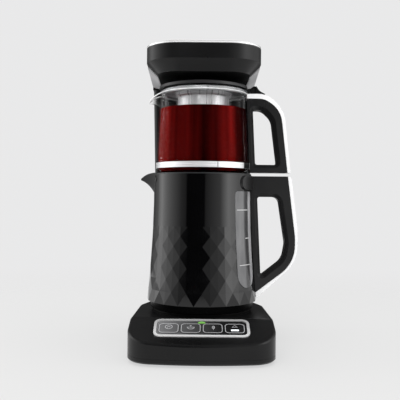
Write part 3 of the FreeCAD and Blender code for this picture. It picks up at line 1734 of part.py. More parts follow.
# ---------------------------------------------------------------------------
# Column
# ---------------------------------------------------------------------------
def column_outline(inset, bottom, top):
    """The column from the front: a little wider at the head than at the deck."""
    rise = (size.column_half_top - size.column_half_foot) / (size.head_bottom - size.deck_height)
    low = size.column_half_foot - inset + rise * (bottom - size.deck_height)
    high = size.column_half_foot - inset + rise * (top - size.deck_height)
    return [(-low, bottom), (low, bottom), (high, top), (-high, top)]


def column_block(name, inset, bottom, top, front, back):
    """A length of the column between two planes behind the kettle."""
    body = new_body(name)
    sketch = polygon_sketch(
        body, "XZ_Plane", column_outline(as_size(inset), as_size(bottom), as_size(top)),
        offset=-as_size(back),
    )
    pad(body, sketch, as_size(back) - as_size(front))
    return body


column_bottom = size.deck_height
column_top = size.head_bottom
front_block = column_block(
    "ColumnFront", 0, column_bottom, column_top, size.column_front, size.column_split
)
dress(
    front_block,
    "Fillet",
    lambda middle, along: abs(along.z) > 0.8 * along.Length > 0
    and middle.y < size.column_front.value + NEAR,
    size.column_round,
    "FrontEdges",
)
front_hollow = column_block(
    "ColumnFrontHollow",
    size.column_wall,
    column_bottom - size.overcut,
    column_top + size.overcut,
    size.column_front + size.column_wall,
    size.column_split + size.overcut,
)
finish("column_front_panel", cut("ColumnPanel", front_block, front_hollow))
back_block = column_block(
    "ColumnBack", 0, column_bottom, column_top, size.column_split + size.seam, size.base_back
)
dress(
    back_block,
    "Fillet",
    lambda middle, along: abs(along.z) > 0.8 * along.Length > 0
    and middle.y > size.base_back.value - NEAR,
    size.column_round,
    "BackEdges",
)
back_hollow = column_block(
    "ColumnBackHollow",
    size.column_wall,
    column_bottom - size.overcut,
    column_top + size.overcut,
    size.column_split - size.overcut,
    size.base_back - size.column_wall,
)
finish("column_rear_cover", cut("ColumnCover", back_block, back_hollow))


# ---------------------------------------------------------------------------
# Head
# ---------------------------------------------------------------------------
def head_block(name, inset, bottom, top, chamfer):
    """The head's plan raised between two heights, with its lower front and side edges cut back."""
    body = new_body(name)
    half = size.head_half - inset
    front = size.head_front - inset
    outline = [
        (-half, -front),
        (half, -front),
        (half, size.column_front),
        (-half, size.column_front),
    ]
    pad(body, polygon_sketch(body, "XY_Plane", outline, offset=bottom), top - bottom)
    dress(
        body,
        "Fillet",
        lambda middle, along: upright(middle, along) and middle.y < 0,
        size.head_corner - inset,
        "Corners",
    )
    if chamfer is not None:
        low = bottom.value
        dress(
            body,
            "Chamfer",
            lambda middle, along: abs(middle.z - low) < NEAR
            and middle.y < size.column_front.value - NEAR,
            chamfer,
            "Underside",
        )
    rear = [
        (-half, size.column_front),
        (half, size.column_front),
        (half, size.base_back - inset),
        (-half, size.base_back - inset),
    ]
    pad(body, polygon_sketch(body, "XY_Plane", rear, name="Rear", offset=bottom), top - bottom)
    dress(
        body,
        "Fillet",
        lambda middle, along: upright(middle, along)
        and middle.y > (size.base_back - inset).value - NEAR,
        size.column_round,
        "RearCorners",
    )
    return body


zero = as_size(0)
head_shell_top = size.head_top - size.rim_height
head_bottom = size.head_bottom + size.seam
head_outer = head_block(
    "HeadOuter", zero, head_bottom, head_shell_top, size.head_crease - size.head_bottom
)
head_hollow = head_block(
    "HeadHollow",
    size.head_wall,
    head_bottom + size.head_wall,
    head_shell_top + size.overcut,
    size.head_crease - size.head_bottom,
)
outlet_hole = cylinder(
    "OutletHole",
    size.outlet_radius + size.outlet_fit,
    4 * size.head_wall,
    0,
    0,
    size.head_bottom - size.head_wall,
)
riser_hole = cylinder(
    "RiserHole", hole_radius, 4 * size.head_wall, 0, size.tube_behind, size.head_bottom - size.head_wall
)
finish("head_shell", cut("HeadShell", head_outer, head_hollow, outlet_hole, riser_hole))

rim_outer = head_block("RimOuter", zero, head_shell_top, size.head_top, None)
rim_inner = head_block(
    "RimInner", size.rim_width, head_shell_top - size.overcut, size.head_top + size.overcut, None
)
finish("head_trim_ring", cut("HeadTrimRing", rim_outer, rim_inner))
cover = head_block(
    "HeadTopCover",
    size.rim_width + size.panel_fit,
    size.head_top - size.cover_recess - size.cover_thickness,
    size.head_top - size.cover_recess,
    None,
)
finish("head_top_cover", cover)


def neck_trim(side):
    """A light inlay under one side edge of the head, deepening towards the column."""
    front_y = -size.neck_front.value
    rear_y = (size.column_front - size.neck_gap).value
    outer = size.head_half.value
    inner = outer - (size.head_crease.value - size.head_bottom.value)
    low = size.head_bottom.value + size.seam.value
    high = size.head_crease.value + size.seam.value
    skin = size.neck_trim.value

    def section(y, drop):
        corners = [
            Vector(side * outer, y, high - size.neck_edge.value),
            Vector(side * (inner + size.neck_edge.value), y, low),
            Vector(side * (inner + skin), y, low),
            Vector(side * outer, y, high - skin - drop),
        ]
        return Part.makePolygon(corners + corners[:1])

    front = section(front_y, size.neck_front_drop.value)
    rear = section(rear_y, size.neck_drop.value)
    return Part.makeLoft([front, rear], True, True)


shape_piece("neck_trim_left", neck_trim(-1))
shape_piece("neck_trim_right", neck_trim(1))

outlet_bottom = size.head_bottom - size.outlet_drop
outlet_bore = size.tube_radius + size.tube_end_gap
finish(
    "brew_outlet",
    turned(
        "BrewOutlet",
        [
            (outlet_bore, outlet_bottom + size.outlet_flare),
            (size.outlet_port, outlet_bottom),
            (size.outlet_radius - size.outlet_bevel, outlet_bottom),
            (size.outlet_radius, outlet_bottom + size.outlet_bevel),
            (size.outlet_radius, outlet_bottom + size.outlet_height),
            (outlet_bore, outlet_bottom + size.outlet_height),
        ],
    ),
)


# ---------------------------------------------------------------------------
# Water path: from the connector to the pump under the column, up to the outlet
# ---------------------------------------------------------------------------
def tube(route):
    """A round tube along straight runs in the YZ plane, joined by tangent bends."""
    corners = [Vector(0, y, z) for y, z in route]
    edges = []
    start = corners[0]
    bend = size.tube_bend.value
    for before, corner, after in zip(corners, corners[1:], corners[2:]):
        back = (before - corner).normalize()
        ahead = (after - corner).normalize()
        reach = bend / math.tan(back.getAngle(ahead) / 2)
        arc_start = corner + back * reach
        arc_end = corner + ahead * reach
        bisector = (back + ahead).normalize()
        centre = corner + bisector * (bend / math.sin(back.getAngle(ahead) / 2))
        edges.append(Part.makeLine(start, arc_start))
        edges.append(Part.Arc(arc_start, centre - bisector * bend, arc_end).toShape())
        start = arc_end
    edges.append(Part.makeLine(start, corners[-1]))
    path = Part.Wire(edges)

    def swept(radius):
        ring = Part.Circle(corners[0], corners[1] - corners[0], radius)
        return path.makePipeShell([Part.Wire([ring.toShape()])], True, False)

    return swept(size.tube_radius.value).cut(swept(size.tube_bore.value))


pump_top = tray_floor + size.pump_height
pump_front = size.tube_behind - size.pump_radius
pump_body = Part.makeCylinder(
    size.pump_radius.value,
    size.pump_height.value,
    Vector(0, size.tube_behind.value, tray_floor.value),
)
nipple_radius = size.tube_bore.value - size.hinge_running_fit.value
upper_nipple = Part.makeCylinder(
    nipple_radius,
    size.nipple_length.value,
    Vector(0, size.tube_behind.value, pump_top.value),
)
front_nipple = Part.makeCylinder(
    nipple_radius,
    (size.nipple_length + size.overcut).value,
    Vector(0, (pump_front + size.overcut).value, size.feed_height.value),
    Vector(0, -1, 0),
)
shape_piece("water_pump", pump_body.fuse(upper_nipple).fuse(front_nipple))
end_gap = size.tube_end_gap.value
shape_piece(
    "riser_tube",
    tube(
        [
            (size.tube_behind.value, pump_top.value + end_gap),
            (size.tube_behind.value, size.tube_height.value),
            (0, size.tube_height.value),
            (0, (outlet_bottom + size.outlet_bevel).value + end_gap),
        ]
    ),
)
shape_piece(
    "feed_hose",
    tube(
        [
            (0, size.deck_height.value - end_gap),
            (0, size.feed_height.value),
            (pump_front.value - end_gap, size.feed_height.value),
        ]
    ),
)


# ---------------------------------------------------------------------------
# Write every piece
# ---------------------------------------------------------------------------
doc.recompute()
faults = [item.Name for item in doc.Objects if "Invalid" in item.State or "Error" in item.State]
for name, item in pieces.items():
    if item.Shape.isNull() or not item.Shape.isValid():
        faults.append(name)
if faults:
    raise RuntimeError("faulty objects: " + ", ".join(faults))

os.makedirs("parts", exist_ok=True)
for name, item in pieces.items():
    item.Shape.exportStep(f"parts/{name}.step")
    box = item.Shape.BoundBox
    print(
        f"{name:22s} solids {len(item.Shape.Solids)} volume {item.Shape.Volume:10.1f}"
        f"  x {box.XMin:7.1f} {box.XMax:7.1f}  y {box.YMin:7.1f} {box.YMax:7.1f}"
        f"  z {box.ZMin:7.1f} {box.ZMax:7.1f}"
    )
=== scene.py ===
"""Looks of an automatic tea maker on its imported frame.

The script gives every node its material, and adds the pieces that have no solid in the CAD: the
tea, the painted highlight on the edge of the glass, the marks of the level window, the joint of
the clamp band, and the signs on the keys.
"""

import json
import math

import bmesh
import bpy
from mathutils import Matrix, Vector


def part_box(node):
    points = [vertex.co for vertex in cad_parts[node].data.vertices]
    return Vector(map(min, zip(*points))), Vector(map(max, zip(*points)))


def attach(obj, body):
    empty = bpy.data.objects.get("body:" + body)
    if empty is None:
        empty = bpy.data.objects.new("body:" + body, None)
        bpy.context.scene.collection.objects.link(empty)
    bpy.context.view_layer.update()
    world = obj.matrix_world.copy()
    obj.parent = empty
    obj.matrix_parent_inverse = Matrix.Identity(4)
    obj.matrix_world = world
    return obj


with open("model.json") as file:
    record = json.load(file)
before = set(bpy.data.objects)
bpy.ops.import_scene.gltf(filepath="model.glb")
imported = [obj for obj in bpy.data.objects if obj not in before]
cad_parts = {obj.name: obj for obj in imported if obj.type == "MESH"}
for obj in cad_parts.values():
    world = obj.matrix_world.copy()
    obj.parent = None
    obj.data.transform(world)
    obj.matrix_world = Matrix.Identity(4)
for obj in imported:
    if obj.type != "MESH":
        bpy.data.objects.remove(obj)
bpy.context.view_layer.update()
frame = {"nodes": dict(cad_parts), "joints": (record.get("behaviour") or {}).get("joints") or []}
nodes = frame["nodes"]

# Lengths are in metres and colours are linear.
MM = 0.001

# The kettle's axis, about which both vessels are round.
band_low, band_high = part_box("pot_clamp_band")
AXIS_X = (band_low.x + band_high.x) / 2
glass_low, glass_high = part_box("pot_glass")


# ---------------------------------------------------------------------------
# Material helpers
# ---------------------------------------------------------------------------
# The range in which most of a noise texture's numbers lie.
NOISE_MIDDLE = (0.3, 0.7)


class Paint:
    """A node tree round one Principled shader, with short names for what it is built from."""

    def __init__(self, name, colour, roughness, **sockets):
        self.material = bpy.data.materials.new(name)
        self.material.use_nodes = True
        self.tree = self.material.node_tree
        self.shader = self.tree.nodes["Principled BSDF"]
        self.shader.inputs["Base Color"].default_value = (*colour, 1)
        self.shader.inputs["Roughness"].default_value = roughness
        for socket, number in sockets.items():
            self.shader.inputs[socket.replace("_", " ")].default_value = number

    def add(self, kind, **settings):
        node = self.tree.nodes.new(kind)
        for key, number in settings.items():
            setattr(node, key, number)
        return node

    def join(self, source, target):
        self.tree.links.new(source, target)

    def place(self):
        """Where a point lies on the object, in metres."""
        return self.add("ShaderNodeTexCoord").outputs["Object"]

    def axes(self):
        """The place's three numbers, by the name of the axis."""
        split = self.add("ShaderNodeSeparateXYZ")
        self.join(self.place(), split.inputs[0])
        return split.outputs

    def scaled(self, factors, place=None):
        """The place multiplied along each axis."""
        node = self.add("ShaderNodeVectorMath", operation="MULTIPLY")
        self.join(place if place is not None else self.place(), node.inputs[0])
        node.inputs[1].default_value = factors
        return node.outputs["Vector"]

    def worked(self, operation, *terms):
        """The result of a sum on two terms, each of them a number or another node's output."""
        node = self.add("ShaderNodeMath", operation=operation)
        for slot, term in zip(node.inputs, terms):
            if isinstance(term, (int, float)):
                slot.default_value = term
            else:
                self.join(term, slot)
        return node.outputs[0]

    def mapped(self, factor, start, end, low=0.0, high=1.0):
        """The numbers from start to end mapped onto those from low to high."""
        node = self.add("ShaderNodeMapRange")
        node.inputs["From Min"].default_value = start
        node.inputs["From Max"].default_value = end
        node.inputs["To Min"].default_value = low
        node.inputs["To Max"].default_value = high
        self.join(factor, node.inputs["Value"])
        return node.outputs["Result"]

    def round_place(self, turn_scale, height_scale):
        """The place as (turn about the vessels' axis, height), each scaled."""
        axes = self.axes()
        across = self.worked("SUBTRACT", axes["X"], AXIS_X)
        both = self.add("ShaderNodeCombineXYZ")
        self.join(self.worked("ARCTAN2", axes["Y"], across), both.inputs["X"])
        self.join(axes["Z"], both.inputs["Y"])
        return self.scaled((turn_scale, height_scale, 0), both.outputs[0])

    def bearing(self, middle):
        """The bearing from the front about an upright line, from 0 at the back, by the left side,
        the front and the right side, to 1 at the back."""
        axes = self.axes()
        across = self.worked("SUBTRACT", axes["X"], middle)
        forwards = self.worked("MULTIPLY", axes["Y"], -1)
        return self.mapped(self.worked("ARCTAN2", across, forwards), -math.pi, math.pi)

    def noise(self, place, scale=1.0, detail=3.0):
        node = self.add("ShaderNodeTexNoise")
        node.inputs["Scale"].default_value = scale
        node.inputs["Detail"].default_value = detail
        self.join(place, node.inputs["Vector"])
        return node.outputs["Fac"]

    def ramp(self, factor, stops):
        """Colours along a factor, as (place, colour) stops."""
        node = self.add("ShaderNodeValToRGB")
        elements = node.color_ramp.elements
        while len(elements) < len(stops):
            elements.new(0.5)
        for element, (spot, colour) in zip(elements, stops):
            element.position = spot
            element.color = (*colour, 1)
        self.join(factor, node.inputs["Fac"])
        return node.outputs["Color"]

    def two_tones(self, factor, first, second, edge=0.35):
        """One colour below a noise's middle and another above it, with a soft change."""
        return self.ramp(factor, [(edge, first), (1 - edge, second)])

    def multiplied(self, first, second):
        """Two colours multiplied."""
        node = self.add("ShaderNodeMix", data_type="RGBA", blend_type="MULTIPLY")
        node.inputs["Factor"].default_value = 1.0
        self.join(first, node.inputs["A"])
        self.join(second, node.inputs["B"])
        return node.outputs["Result"]

    def tint(self, source):
        self.join(source, self.shader.inputs["Base Color"])

    def rough(self, factor, low, high):
        """Let a noise vary the roughness between two numbers."""
        self.join(self.mapped(factor, *NOISE_MIDDLE, low, high), self.shader.inputs["Roughness"])

    def bump(self, factor, height, strength=1.0):
        node = self.add("ShaderNodeBump")
        node.inputs["Distance"].default_value = height
        node.inputs["Strength"].default_value = strength
        self.join(factor, node.inputs["Height"])
        self.join(node.outputs["Normal"], self.shader.inputs["Normal"])


def shaded(colour, factor):
    """A colour made darker or lighter."""
    return [channel * factor for channel in colour]


def by_bearing(stops):
    """Stops given by bearing in degrees, from -180 to 180, as shares of the whole turn."""
    return [((turn + 180) / 360, colour) for turn, colour in stops]


def moulded_plastic(name, colour, roughness, grain, depth, gloss=0.5):
    """Moulded plastic: a fine even grain, and a broad drift in gloss and tone."""
    paint = Paint(name, colour, roughness, Specular_IOR_Level=gloss)
    drift = paint.noise(paint.place(), scale=14)
    paint.rough(drift, roughness * 0.86, roughness * 1.14)
    lighter = [min(1, channel * 1.16 + 0.0003) for channel in colour]
    paint.tint(paint.two_tones(drift, shaded(colour, 0.86), lighter))
    paint.bump(paint.noise(paint.place(), scale=grain, detail=2), depth)
    return paint.material


def brushed_metal(name, colour, roughness, along, metallic=1.0):
    """Steel with fine brush lines: along is the stretch of the lines (turn, height) or None."""
    paint = Paint(name, colour, roughness, Metallic=metallic)
    place = paint.round_place(*along) if along else paint.scaled((60, 900, 900))
    lines = paint.noise(place, detail=4)
    paint.rough(lines, roughness * 0.75, roughness * 1.3)
    paint.tint(paint.two_tones(lines, shaded(colour, 0.86), colour, edge=0.3))
    paint.bump(lines, 0.01 * MM, 0.5)
    return paint.material


def chrome_mottle(paint):
    """The faint mottling of plated plastic, which also varies its gloss."""
    mottle = paint.noise(paint.place(), scale=220)
    paint.rough(mottle, 0.16, 0.27)
    return mottle


def bright_chrome(name, brightness, metallic):
    """Satin chrome, lit evenly."""
    paint = Paint(name, (brightness, brightness, brightness * 1.01), 0.2, Metallic=metallic)
    low, high = brightness * 0.95, min(brightness * 1.02, 0.99)
    paint.tint(
        paint.two_tones(chrome_mottle(paint), (low, low, low * 1.01), (high, high, high), edge=0.3)
    )
    return paint.material


def chrome_painted_light(name, node, greys):
    """Chrome with painted reflection and shade, changing its tone from a node's foot to its top:
    (share of height, grey) stops.
    """
    low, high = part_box(node)
    paint = Paint(name, (0.80, 0.80, 0.81), 0.2, Metallic=0.4)
    share = paint.mapped(paint.axes()["Z"], low.z, high.z)
    paint.tint(paint.ramp(share, [(spot, (grey, grey, grey)) for spot, grey in greys]))
    chrome_mottle(paint)
    return paint.material


def gloss_black(name, colour, roughness):
    """Polished black plastic: faint waviness and a drift in gloss."""
    paint = Paint(name, colour, roughness)
    drift = paint.noise(paint.place(), scale=22)
    paint.rough(drift, roughness * 0.8, roughness * 1.3)
    paint.tint(paint.two_tones(drift, shaded(colour, 0.8), shaded(colour, 1.2)))
    paint.bump(paint.noise(paint.place(), scale=60, detail=1), 0.012 * MM, 0.4)
    return paint.material


def gloss_with_painted_reflection(name, roughness, stops):
    """Polished panel plastic with a painted reflection: grey on the left, fading to black, by (x,
    grey) stops.
    """
    paint = Paint(name, (0.02, 0.02, 0.021), roughness)
    left, right = stops[0][0], stops[-1][0]
    share = paint.mapped(paint.axes()["X"], AXIS_X + left, AXIS_X + right)
    greys = [((x - left) / (right - left), (grey, grey, grey * 1.02)) for x, grey in stops]
    paint.tint(paint.ramp(share, greys))
    paint.rough(paint.noise(paint.place(), scale=22), roughness * 0.8, roughness * 1.3)
    return paint.material


# Where the painted highlight of the thick glass starts and where it is full: below its top, at the
# rim, and from the axis, at the beak.
GLASS_RIM_HIGHLIGHT = (6.0 * MM, 4.6 * MM)
GLASS_BEAK_HIGHLIGHT = (61 * MM, 67 * MM)


def clear_glass(name):
    """Clear glass: thin and weak in shine on the body, denser and paler at the thick rim and beak,
    a painted highlight.
    """
    paint = Paint(name, (0.96, 0.965, 0.965), 0.01, Transmission_Weight=1.0, IOR=1.08)
    paint.rough(paint.noise(paint.place(), scale=40), 0.0, 0.03)
    axes = paint.axes()
    rim_highlight = paint.worked(
        "MAXIMUM",
        paint.mapped(axes["Z"], *(glass_high.z - below for below in GLASS_RIM_HIGHLIGHT)),
        paint.mapped(axes["X"], *(AXIS_X - aside for aside in GLASS_BEAK_HIGHLIGHT)),
    )
    for socket, body, edge in (("Alpha", 0.17, 0.45), ("Transmission Weight", 1.0, 0.92)):
        paint.join(paint.mapped(rim_highlight, 0, 1, body, edge), paint.shader.inputs[socket])
    return paint.material


def glass_edge_highlight(name):
    """A painted highlight: the bright line that the glass shows where its rim is rounded off."""
    paint = Paint(name, (0.85, 0.86, 0.86), 0.12, Transmission_Weight=0.1, IOR=1.3)
    tone = paint.noise(paint.round_place(6, 8), detail=2)
    paint.tint(paint.two_tones(tone, (0.72, 0.73, 0.73), (0.97, 0.97, 0.97)))
    paint.rough(tone, 0.08, 0.2)
    return paint.material


# How red the tea looks, by bearing from the front in degrees: painted light, lighter at both sides
# where light comes through and darkest at the front.
TEA_PAINTED_LIGHT = [
    (-180, 0.06), (-65, 0.18), (-45, 0.06), (-10, 0.03), (0, 0.008), (15, 0.03), (38, 0.12),
    (48, 0.03), (60, 0.006), (180, 0.06),
]


def brewed_tea(name):
    """Strong red tea: painted light by bearing, lighter where light crosses its thin sides, and
    upright streaks of painted reflection.
    """
    paint = Paint(name, (0.12, 0.004, 0.002), 0.3, IOR=1.2, Specular_IOR_Level=0.0)
    reds = [(turn, (red, red * 0.035, red * 0.03)) for turn, red in TEA_PAINTED_LIGHT]
    painted_reflection_streaks = paint.noise(paint.round_place(7.5, 4.0), detail=5)
    paint.tint(
        paint.multiplied(
            paint.ramp(paint.bearing(AXIS_X), by_bearing(reds)),
            paint.two_tones(painted_reflection_streaks, (0.6, 0.6, 0.6), (1.3, 1.3, 1.3), edge=0.36),
        )
    )
    return paint.material


# How light the level window looks, by bearing from the front: a darker strip, then a painted
# highlight on its thick right edge.
PANE_PAINTED_EDGE_LIGHT = [(30, 1.0), (52, 1.0), (55, 0.4), (60.5, 0.4), (62.5, 1.0), (63.5, 2.4), (90, 2.4)]


def smoked_pane(name):
    """The level window: grey translucent plastic, clouded a little by scale inside, with a darker
    strip and a painted highlight towards its right edge.
    """
    paint = Paint(name, (0.20, 0.20, 0.205), 0.16, Transmission_Weight=0.25)
    cloud = paint.noise(paint.scaled((60, 60, 18)), detail=4)
    grey = paint.two_tones(cloud, (0.14, 0.14, 0.145), (0.24, 0.24, 0.245))
    brightest = max(tone for turn, tone in PANE_PAINTED_EDGE_LIGHT)
    tones = [(turn, [tone / brightest] * 3) for turn, tone in PANE_PAINTED_EDGE_LIGHT]
    lifted = paint.add("ShaderNodeVectorMath", operation="SCALE")
    lifted.inputs["Scale"].default_value = brightest
    paint.join(paint.ramp(paint.bearing(AXIS_X), by_bearing(tones)), lifted.inputs[0])
    paint.tint(paint.multiplied(grey, lifted.outputs["Vector"]))
    paint.rough(cloud, 0.12, 0.22)
    return paint.material


def glowing(name, colour, strength):
    """A lit lens whose gloss varies a little."""
    paint = Paint(name, colour, 0.25, Emission_Strength=strength)
    paint.shader.inputs["Emission Color"].default_value = (*colour, 1)
    paint.rough(paint.noise(paint.place(), scale=500), 0.2, 0.32)
    return paint.material


# ---------------------------------------------------------------------------
# Materials, and the nodes that they go on
# ---------------------------------------------------------------------------
GRAIN_DEPTH = 0.02 * MM
PRINT_DEPTH = 0.01 * MM

# Moulded plastics: (name, colour, roughness, grain, depth of the grain, gloss).
BLACK_SATIN = moulded_plastic(
    "black_satin", (0.005, 0.005, 0.0052), 0.30, 2600, GRAIN_DEPTH, 0.27
)
# Blacker than the other blacks and with little shine: partly the parts' own black, partly painted
# shade, for they sit under or between other parts.
BLACK_PAINTED_SHADE = moulded_plastic(
    "black_deep_painted_shade", (0.0008, 0.0008, 0.0009), 0.34, 2600, GRAIN_DEPTH, 0.04
)
BLACK_HANDLE = moulded_plastic(
    "black_handle", (0.008, 0.008, 0.0083), 0.30, 2200, 0.025 * MM, 0.4
)
DARK_GREY = moulded_plastic(
    "dark_grey_satin", (0.018, 0.018, 0.019), 0.32, 2200, GRAIN_DEPTH, 0.35
)
LIGHT_GREY = moulded_plastic("light_grey_satin", (0.50, 0.50, 0.51), 0.38, 2200, GRAIN_DEPTH)
RUBBER = moulded_plastic("black_rubber_skin", (0.022, 0.022, 0.022), 0.75, 1500, 0.06 * MM)
BOARD = moulded_plastic("board_green", (0.015, 0.12, 0.045), 0.45, 900, GRAIN_DEPTH)
SWITCH = moulded_plastic("switch_black_cap", (0.03, 0.03, 0.03), 0.5, 1500, GRAIN_DEPTH)
MARK = moulded_plastic("print_pale", (0.60, 0.60, 0.60), 0.45, 900, PRINT_DEPTH)
SYMBOL = moulded_plastic("symbol_pale", (0.42, 0.42, 0.43), 0.45, 900, PRINT_DEPTH)

# Polished plastics. The panel's grey, a painted reflection, is given by the distance from the
# vessels' axis in metres.
PANEL_PAINTED_REFLECTION = [(-0.060, 0.21), (-0.035, 0.12), (-0.008, 0.055), (0.022, 0.012), (0.056, 0.004)]
KETTLE_BLACK = gloss_black("kettle_black", (0.0016, 0.0016, 0.0018), 0.075)
FASCIA_BLACK = gloss_with_painted_reflection("fascia_painted_reflection", 0.10, PANEL_PAINTED_REFLECTION)
KEY_BLACK = gloss_with_painted_reflection("key_painted_reflection", 0.14, [(x, grey * 0.9) for x, grey in PANEL_PAINTED_REFLECTION])

# Metals.
# Painted reflection on the head's trim ring: dark at its foot where it mirrors the black band,
# bright above it, and dimmer at its top.
TRIM_PAINTED_REFLECTION = [(0, 0.04), (0.22, 0.12), (0.42, 0.97), (0.72, 0.97), (1, 0.45)]
# Painted shade on the panel's bezel: darker towards its top.
BEZEL_PAINTED_SHADE = [(0, 0.97), (0.35, 0.92), (0.75, 0.62), (1, 0.55)]
CHROME_STRAP = bright_chrome("chrome_strap", 0.96, 0.15)
CHROME_RIM = chrome_painted_light("chrome_rim", "head_trim_ring", TRIM_PAINTED_REFLECTION)
CHROME_BEZEL = chrome_painted_light("chrome_bezel", "panel_bezel", BEZEL_PAINTED_SHADE)
STEEL_ROUND = brushed_metal("steel_brushed_round", (0.88, 0.88, 0.89), 0.28, (1.2, 5200), 0.5)
STEEL_BASKET = brushed_metal("steel_basket", (0.60, 0.60, 0.61), 0.30, (9, 6), 0.6)
STEEL_MOUTH = brushed_metal("steel_mouth", (0.31, 0.31, 0.32), 0.30, (2.5, 6), 0.4)
STEEL_PLAIN = brushed_metal("steel_plain", (0.55, 0.55, 0.56), 0.32, None)

# What light goes through or comes from.
GLASS = clear_glass("pot_clear_glass")
GLASS_EDGE_HIGHLIGHT = glass_edge_highlight("pot_glass_edge_highlight")
TEA = brewed_tea("tea_red")
PANE = smoked_pane("window_grey")
LENS = glowing("lens_green", (0.16, 0.40, 0.08), 0.22)
LIT = glowing("symbol_lit", (0.85, 0.88, 0.92), 0.9)

NODE_PAINT = {
    BLACK_SATIN: [
        "base_cover", "base_tray", "column_front_panel", "column_rear_cover", "head_shell",
        "cord_inlet", "water_pump", "lid_lever", "lid_hinge_bracket", "lid_hinge_pin",
        "head_top_cover",
    ],
    BLACK_PAINTED_SHADE: [
        "kettle_foot_ring", "kettle_socket", "power_connector", "brew_outlet", "lid_gasket",
    ],
    BLACK_HANDLE: ["kettle_handle", "pot_handle"],
    DARK_GREY: ["kettle_collar", "pot_lid"],
    LIGHT_GREY: ["neck_trim_left", "neck_trim_right"],
    RUBBER: ["base_feet", "riser_tube", "feed_hose"],
    BOARD: ["power_board", "control_board"],
    SWITCH: ["tact_switches"],
    KETTLE_BLACK: ["kettle_shell"],
    FASCIA_BLACK: ["panel_fascia"],
    KEY_BLACK: [f"program_key_{index}" for index in range(1, 5)],
    CHROME_BEZEL: ["panel_bezel"],
    CHROME_RIM: ["head_trim_ring"],
    CHROME_STRAP: ["kettle_handle_strap", "pot_handle_strap"],
    STEEL_ROUND: ["pot_clamp_band", "heater_plate"],
    STEEL_BASKET: ["tea_basket"],
    STEEL_MOUTH: ["pot_mouth_ring"],
    STEEL_PLAIN: ["heater_element", "base_screws"],
    GLASS: ["pot_glass"],
    PANE: ["level_window"],
    LENS: ["status_lens"],
}
for paint, names in NODE_PAINT.items():
    for name in names:
        nodes[name].data.materials.clear()
        nodes[name].data.materials.append(paint)


# ---------------------------------------------------------------------------
# Mesh helpers
# ---------------------------------------------------------------------------
def linked(name, data):
    """A new object in the scene for a mesh, a curve, a lamp or a camera."""
    piece = bpy.data.objects.new(name, data)
    bpy.context.scene.collection.objects.link(piece)
    return piece


def mesh_piece(name, mesh, paint, smooth=True):
    data = bpy.data.meshes.new(name)
    mesh.normal_update()
    mesh.to_mesh(data)
    mesh.free()
    data.materials.append(paint)
    for face in data.polygons:
        face.use_smooth = smooth
    return linked(name, data)


def outwards_normals(mesh):
    bmesh.ops.recalc_face_normals(mesh, faces=mesh.faces[:])


def round_spot(radius, turn, height):
    """A point at a bearing about the vessels' axis, from the front, positive to the right."""
    return Vector((AXIS_X + radius * math.sin(turn), -radius * math.cos(turn), height))


def four_sided(mesh, loops, closed=False):
    """The skin of a bar between loops of four corners, with its two ends unless it is closed."""
    following = loops[1:] + loops[:1] if closed else loops[1:]
    for first, second in zip(loops, following):
        for k in range(4):
            mesh.faces.new((first[k], first[(k + 1) % 4], second[(k + 1) % 4], second[k]))
    if not closed:
        mesh.faces.new(loops[0])
        mesh.faces.new(reversed(loops[-1]))


def turned_solid(mesh, outline, steps=128):
    """Add a closed solid turned about the vessels' axis from its half section (radius, height)."""
    rings = []
    for radius, height in outline:
        if radius == 0:
            rings.append([mesh.verts.new((AXIS_X, 0, height))])
            continue
        turns = [math.tau * step / steps for step in range(steps)]
        rings.append(
            [
                mesh.verts.new(
                    (AXIS_X + radius * math.cos(turn), radius * math.sin(turn), height)
                )
                for turn in turns
            ]
        )
    for lower, upper in zip(rings, rings[1:] + rings[:1]):
        for step in range(steps):
            after = (step + 1) % steps
            corners = [
                lower[step % len(lower)],
                lower[after % len(lower)],
                upper[after % len(upper)],
                upper[step % len(upper)],
            ]
            corners = list(dict.fromkeys(corners))
            if len(corners) > 2:
                mesh.faces.new(corners)
    outwards_normals(mesh)


# ---------------------------------------------------------------------------
# Tea in the pot, round the basket and inside it
# ---------------------------------------------------------------------------
TEA_TOP = 0.3060
BELLY = 0.250  # the height from which the glass narrows towards its mouth
GLASS_RADIUS = glass_high.x - AXIS_X
MOUTH_RADIUS = 56.8 * MM
GLASS_WALL = 2.4 * MM
FOOT_ROUND = 4 * MM
BASKET_RADIUS = 33.6 * MM
BASKET_WALL = 0.8 * MM
GAP = 0.15 * MM  # left between the tea and each wall
TEA_SHARP = 35  # degrees between two faces from which their edge is shown sharp

basket_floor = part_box("tea_basket")[0].z
tea_floor = glass_low.z + GLASS_WALL + GAP
tea_radius = GLASS_RADIUS - GLASS_WALL - GAP
narrowing = (GLASS_RADIUS - MOUTH_RADIUS) * (TEA_TOP - BELLY) / (glass_high.z - BELLY)
outside_basket = BASKET_RADIUS + GAP
inside_basket = BASKET_RADIUS - BASKET_WALL - GAP

tea_mesh = bmesh.new()
turned_solid(
    tea_mesh,
    [
        (0, tea_floor),
        (tea_radius - FOOT_ROUND, tea_floor),
        (tea_radius, tea_floor + FOOT_ROUND),
        (tea_radius, BELLY),
        (tea_radius - narrowing, TEA_TOP),
        (outside_basket, TEA_TOP),
        (outside_basket, basket_floor - GAP),
        (0, basket_floor - GAP),
    ],
)
turned_solid(
    tea_mesh,
    [
        (0, basket_floor + BASKET_WALL + GAP),
        (inside_basket, basket_floor + BASKET_WALL + GAP),
        (inside_basket, TEA_TOP),
        (0, TEA_TOP),
    ],
)
tea = mesh_piece("tea", tea_mesh, TEA)
tea.data.set_sharp_from_angle(angle=math.radians(TEA_SHARP))
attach(tea, "pot")


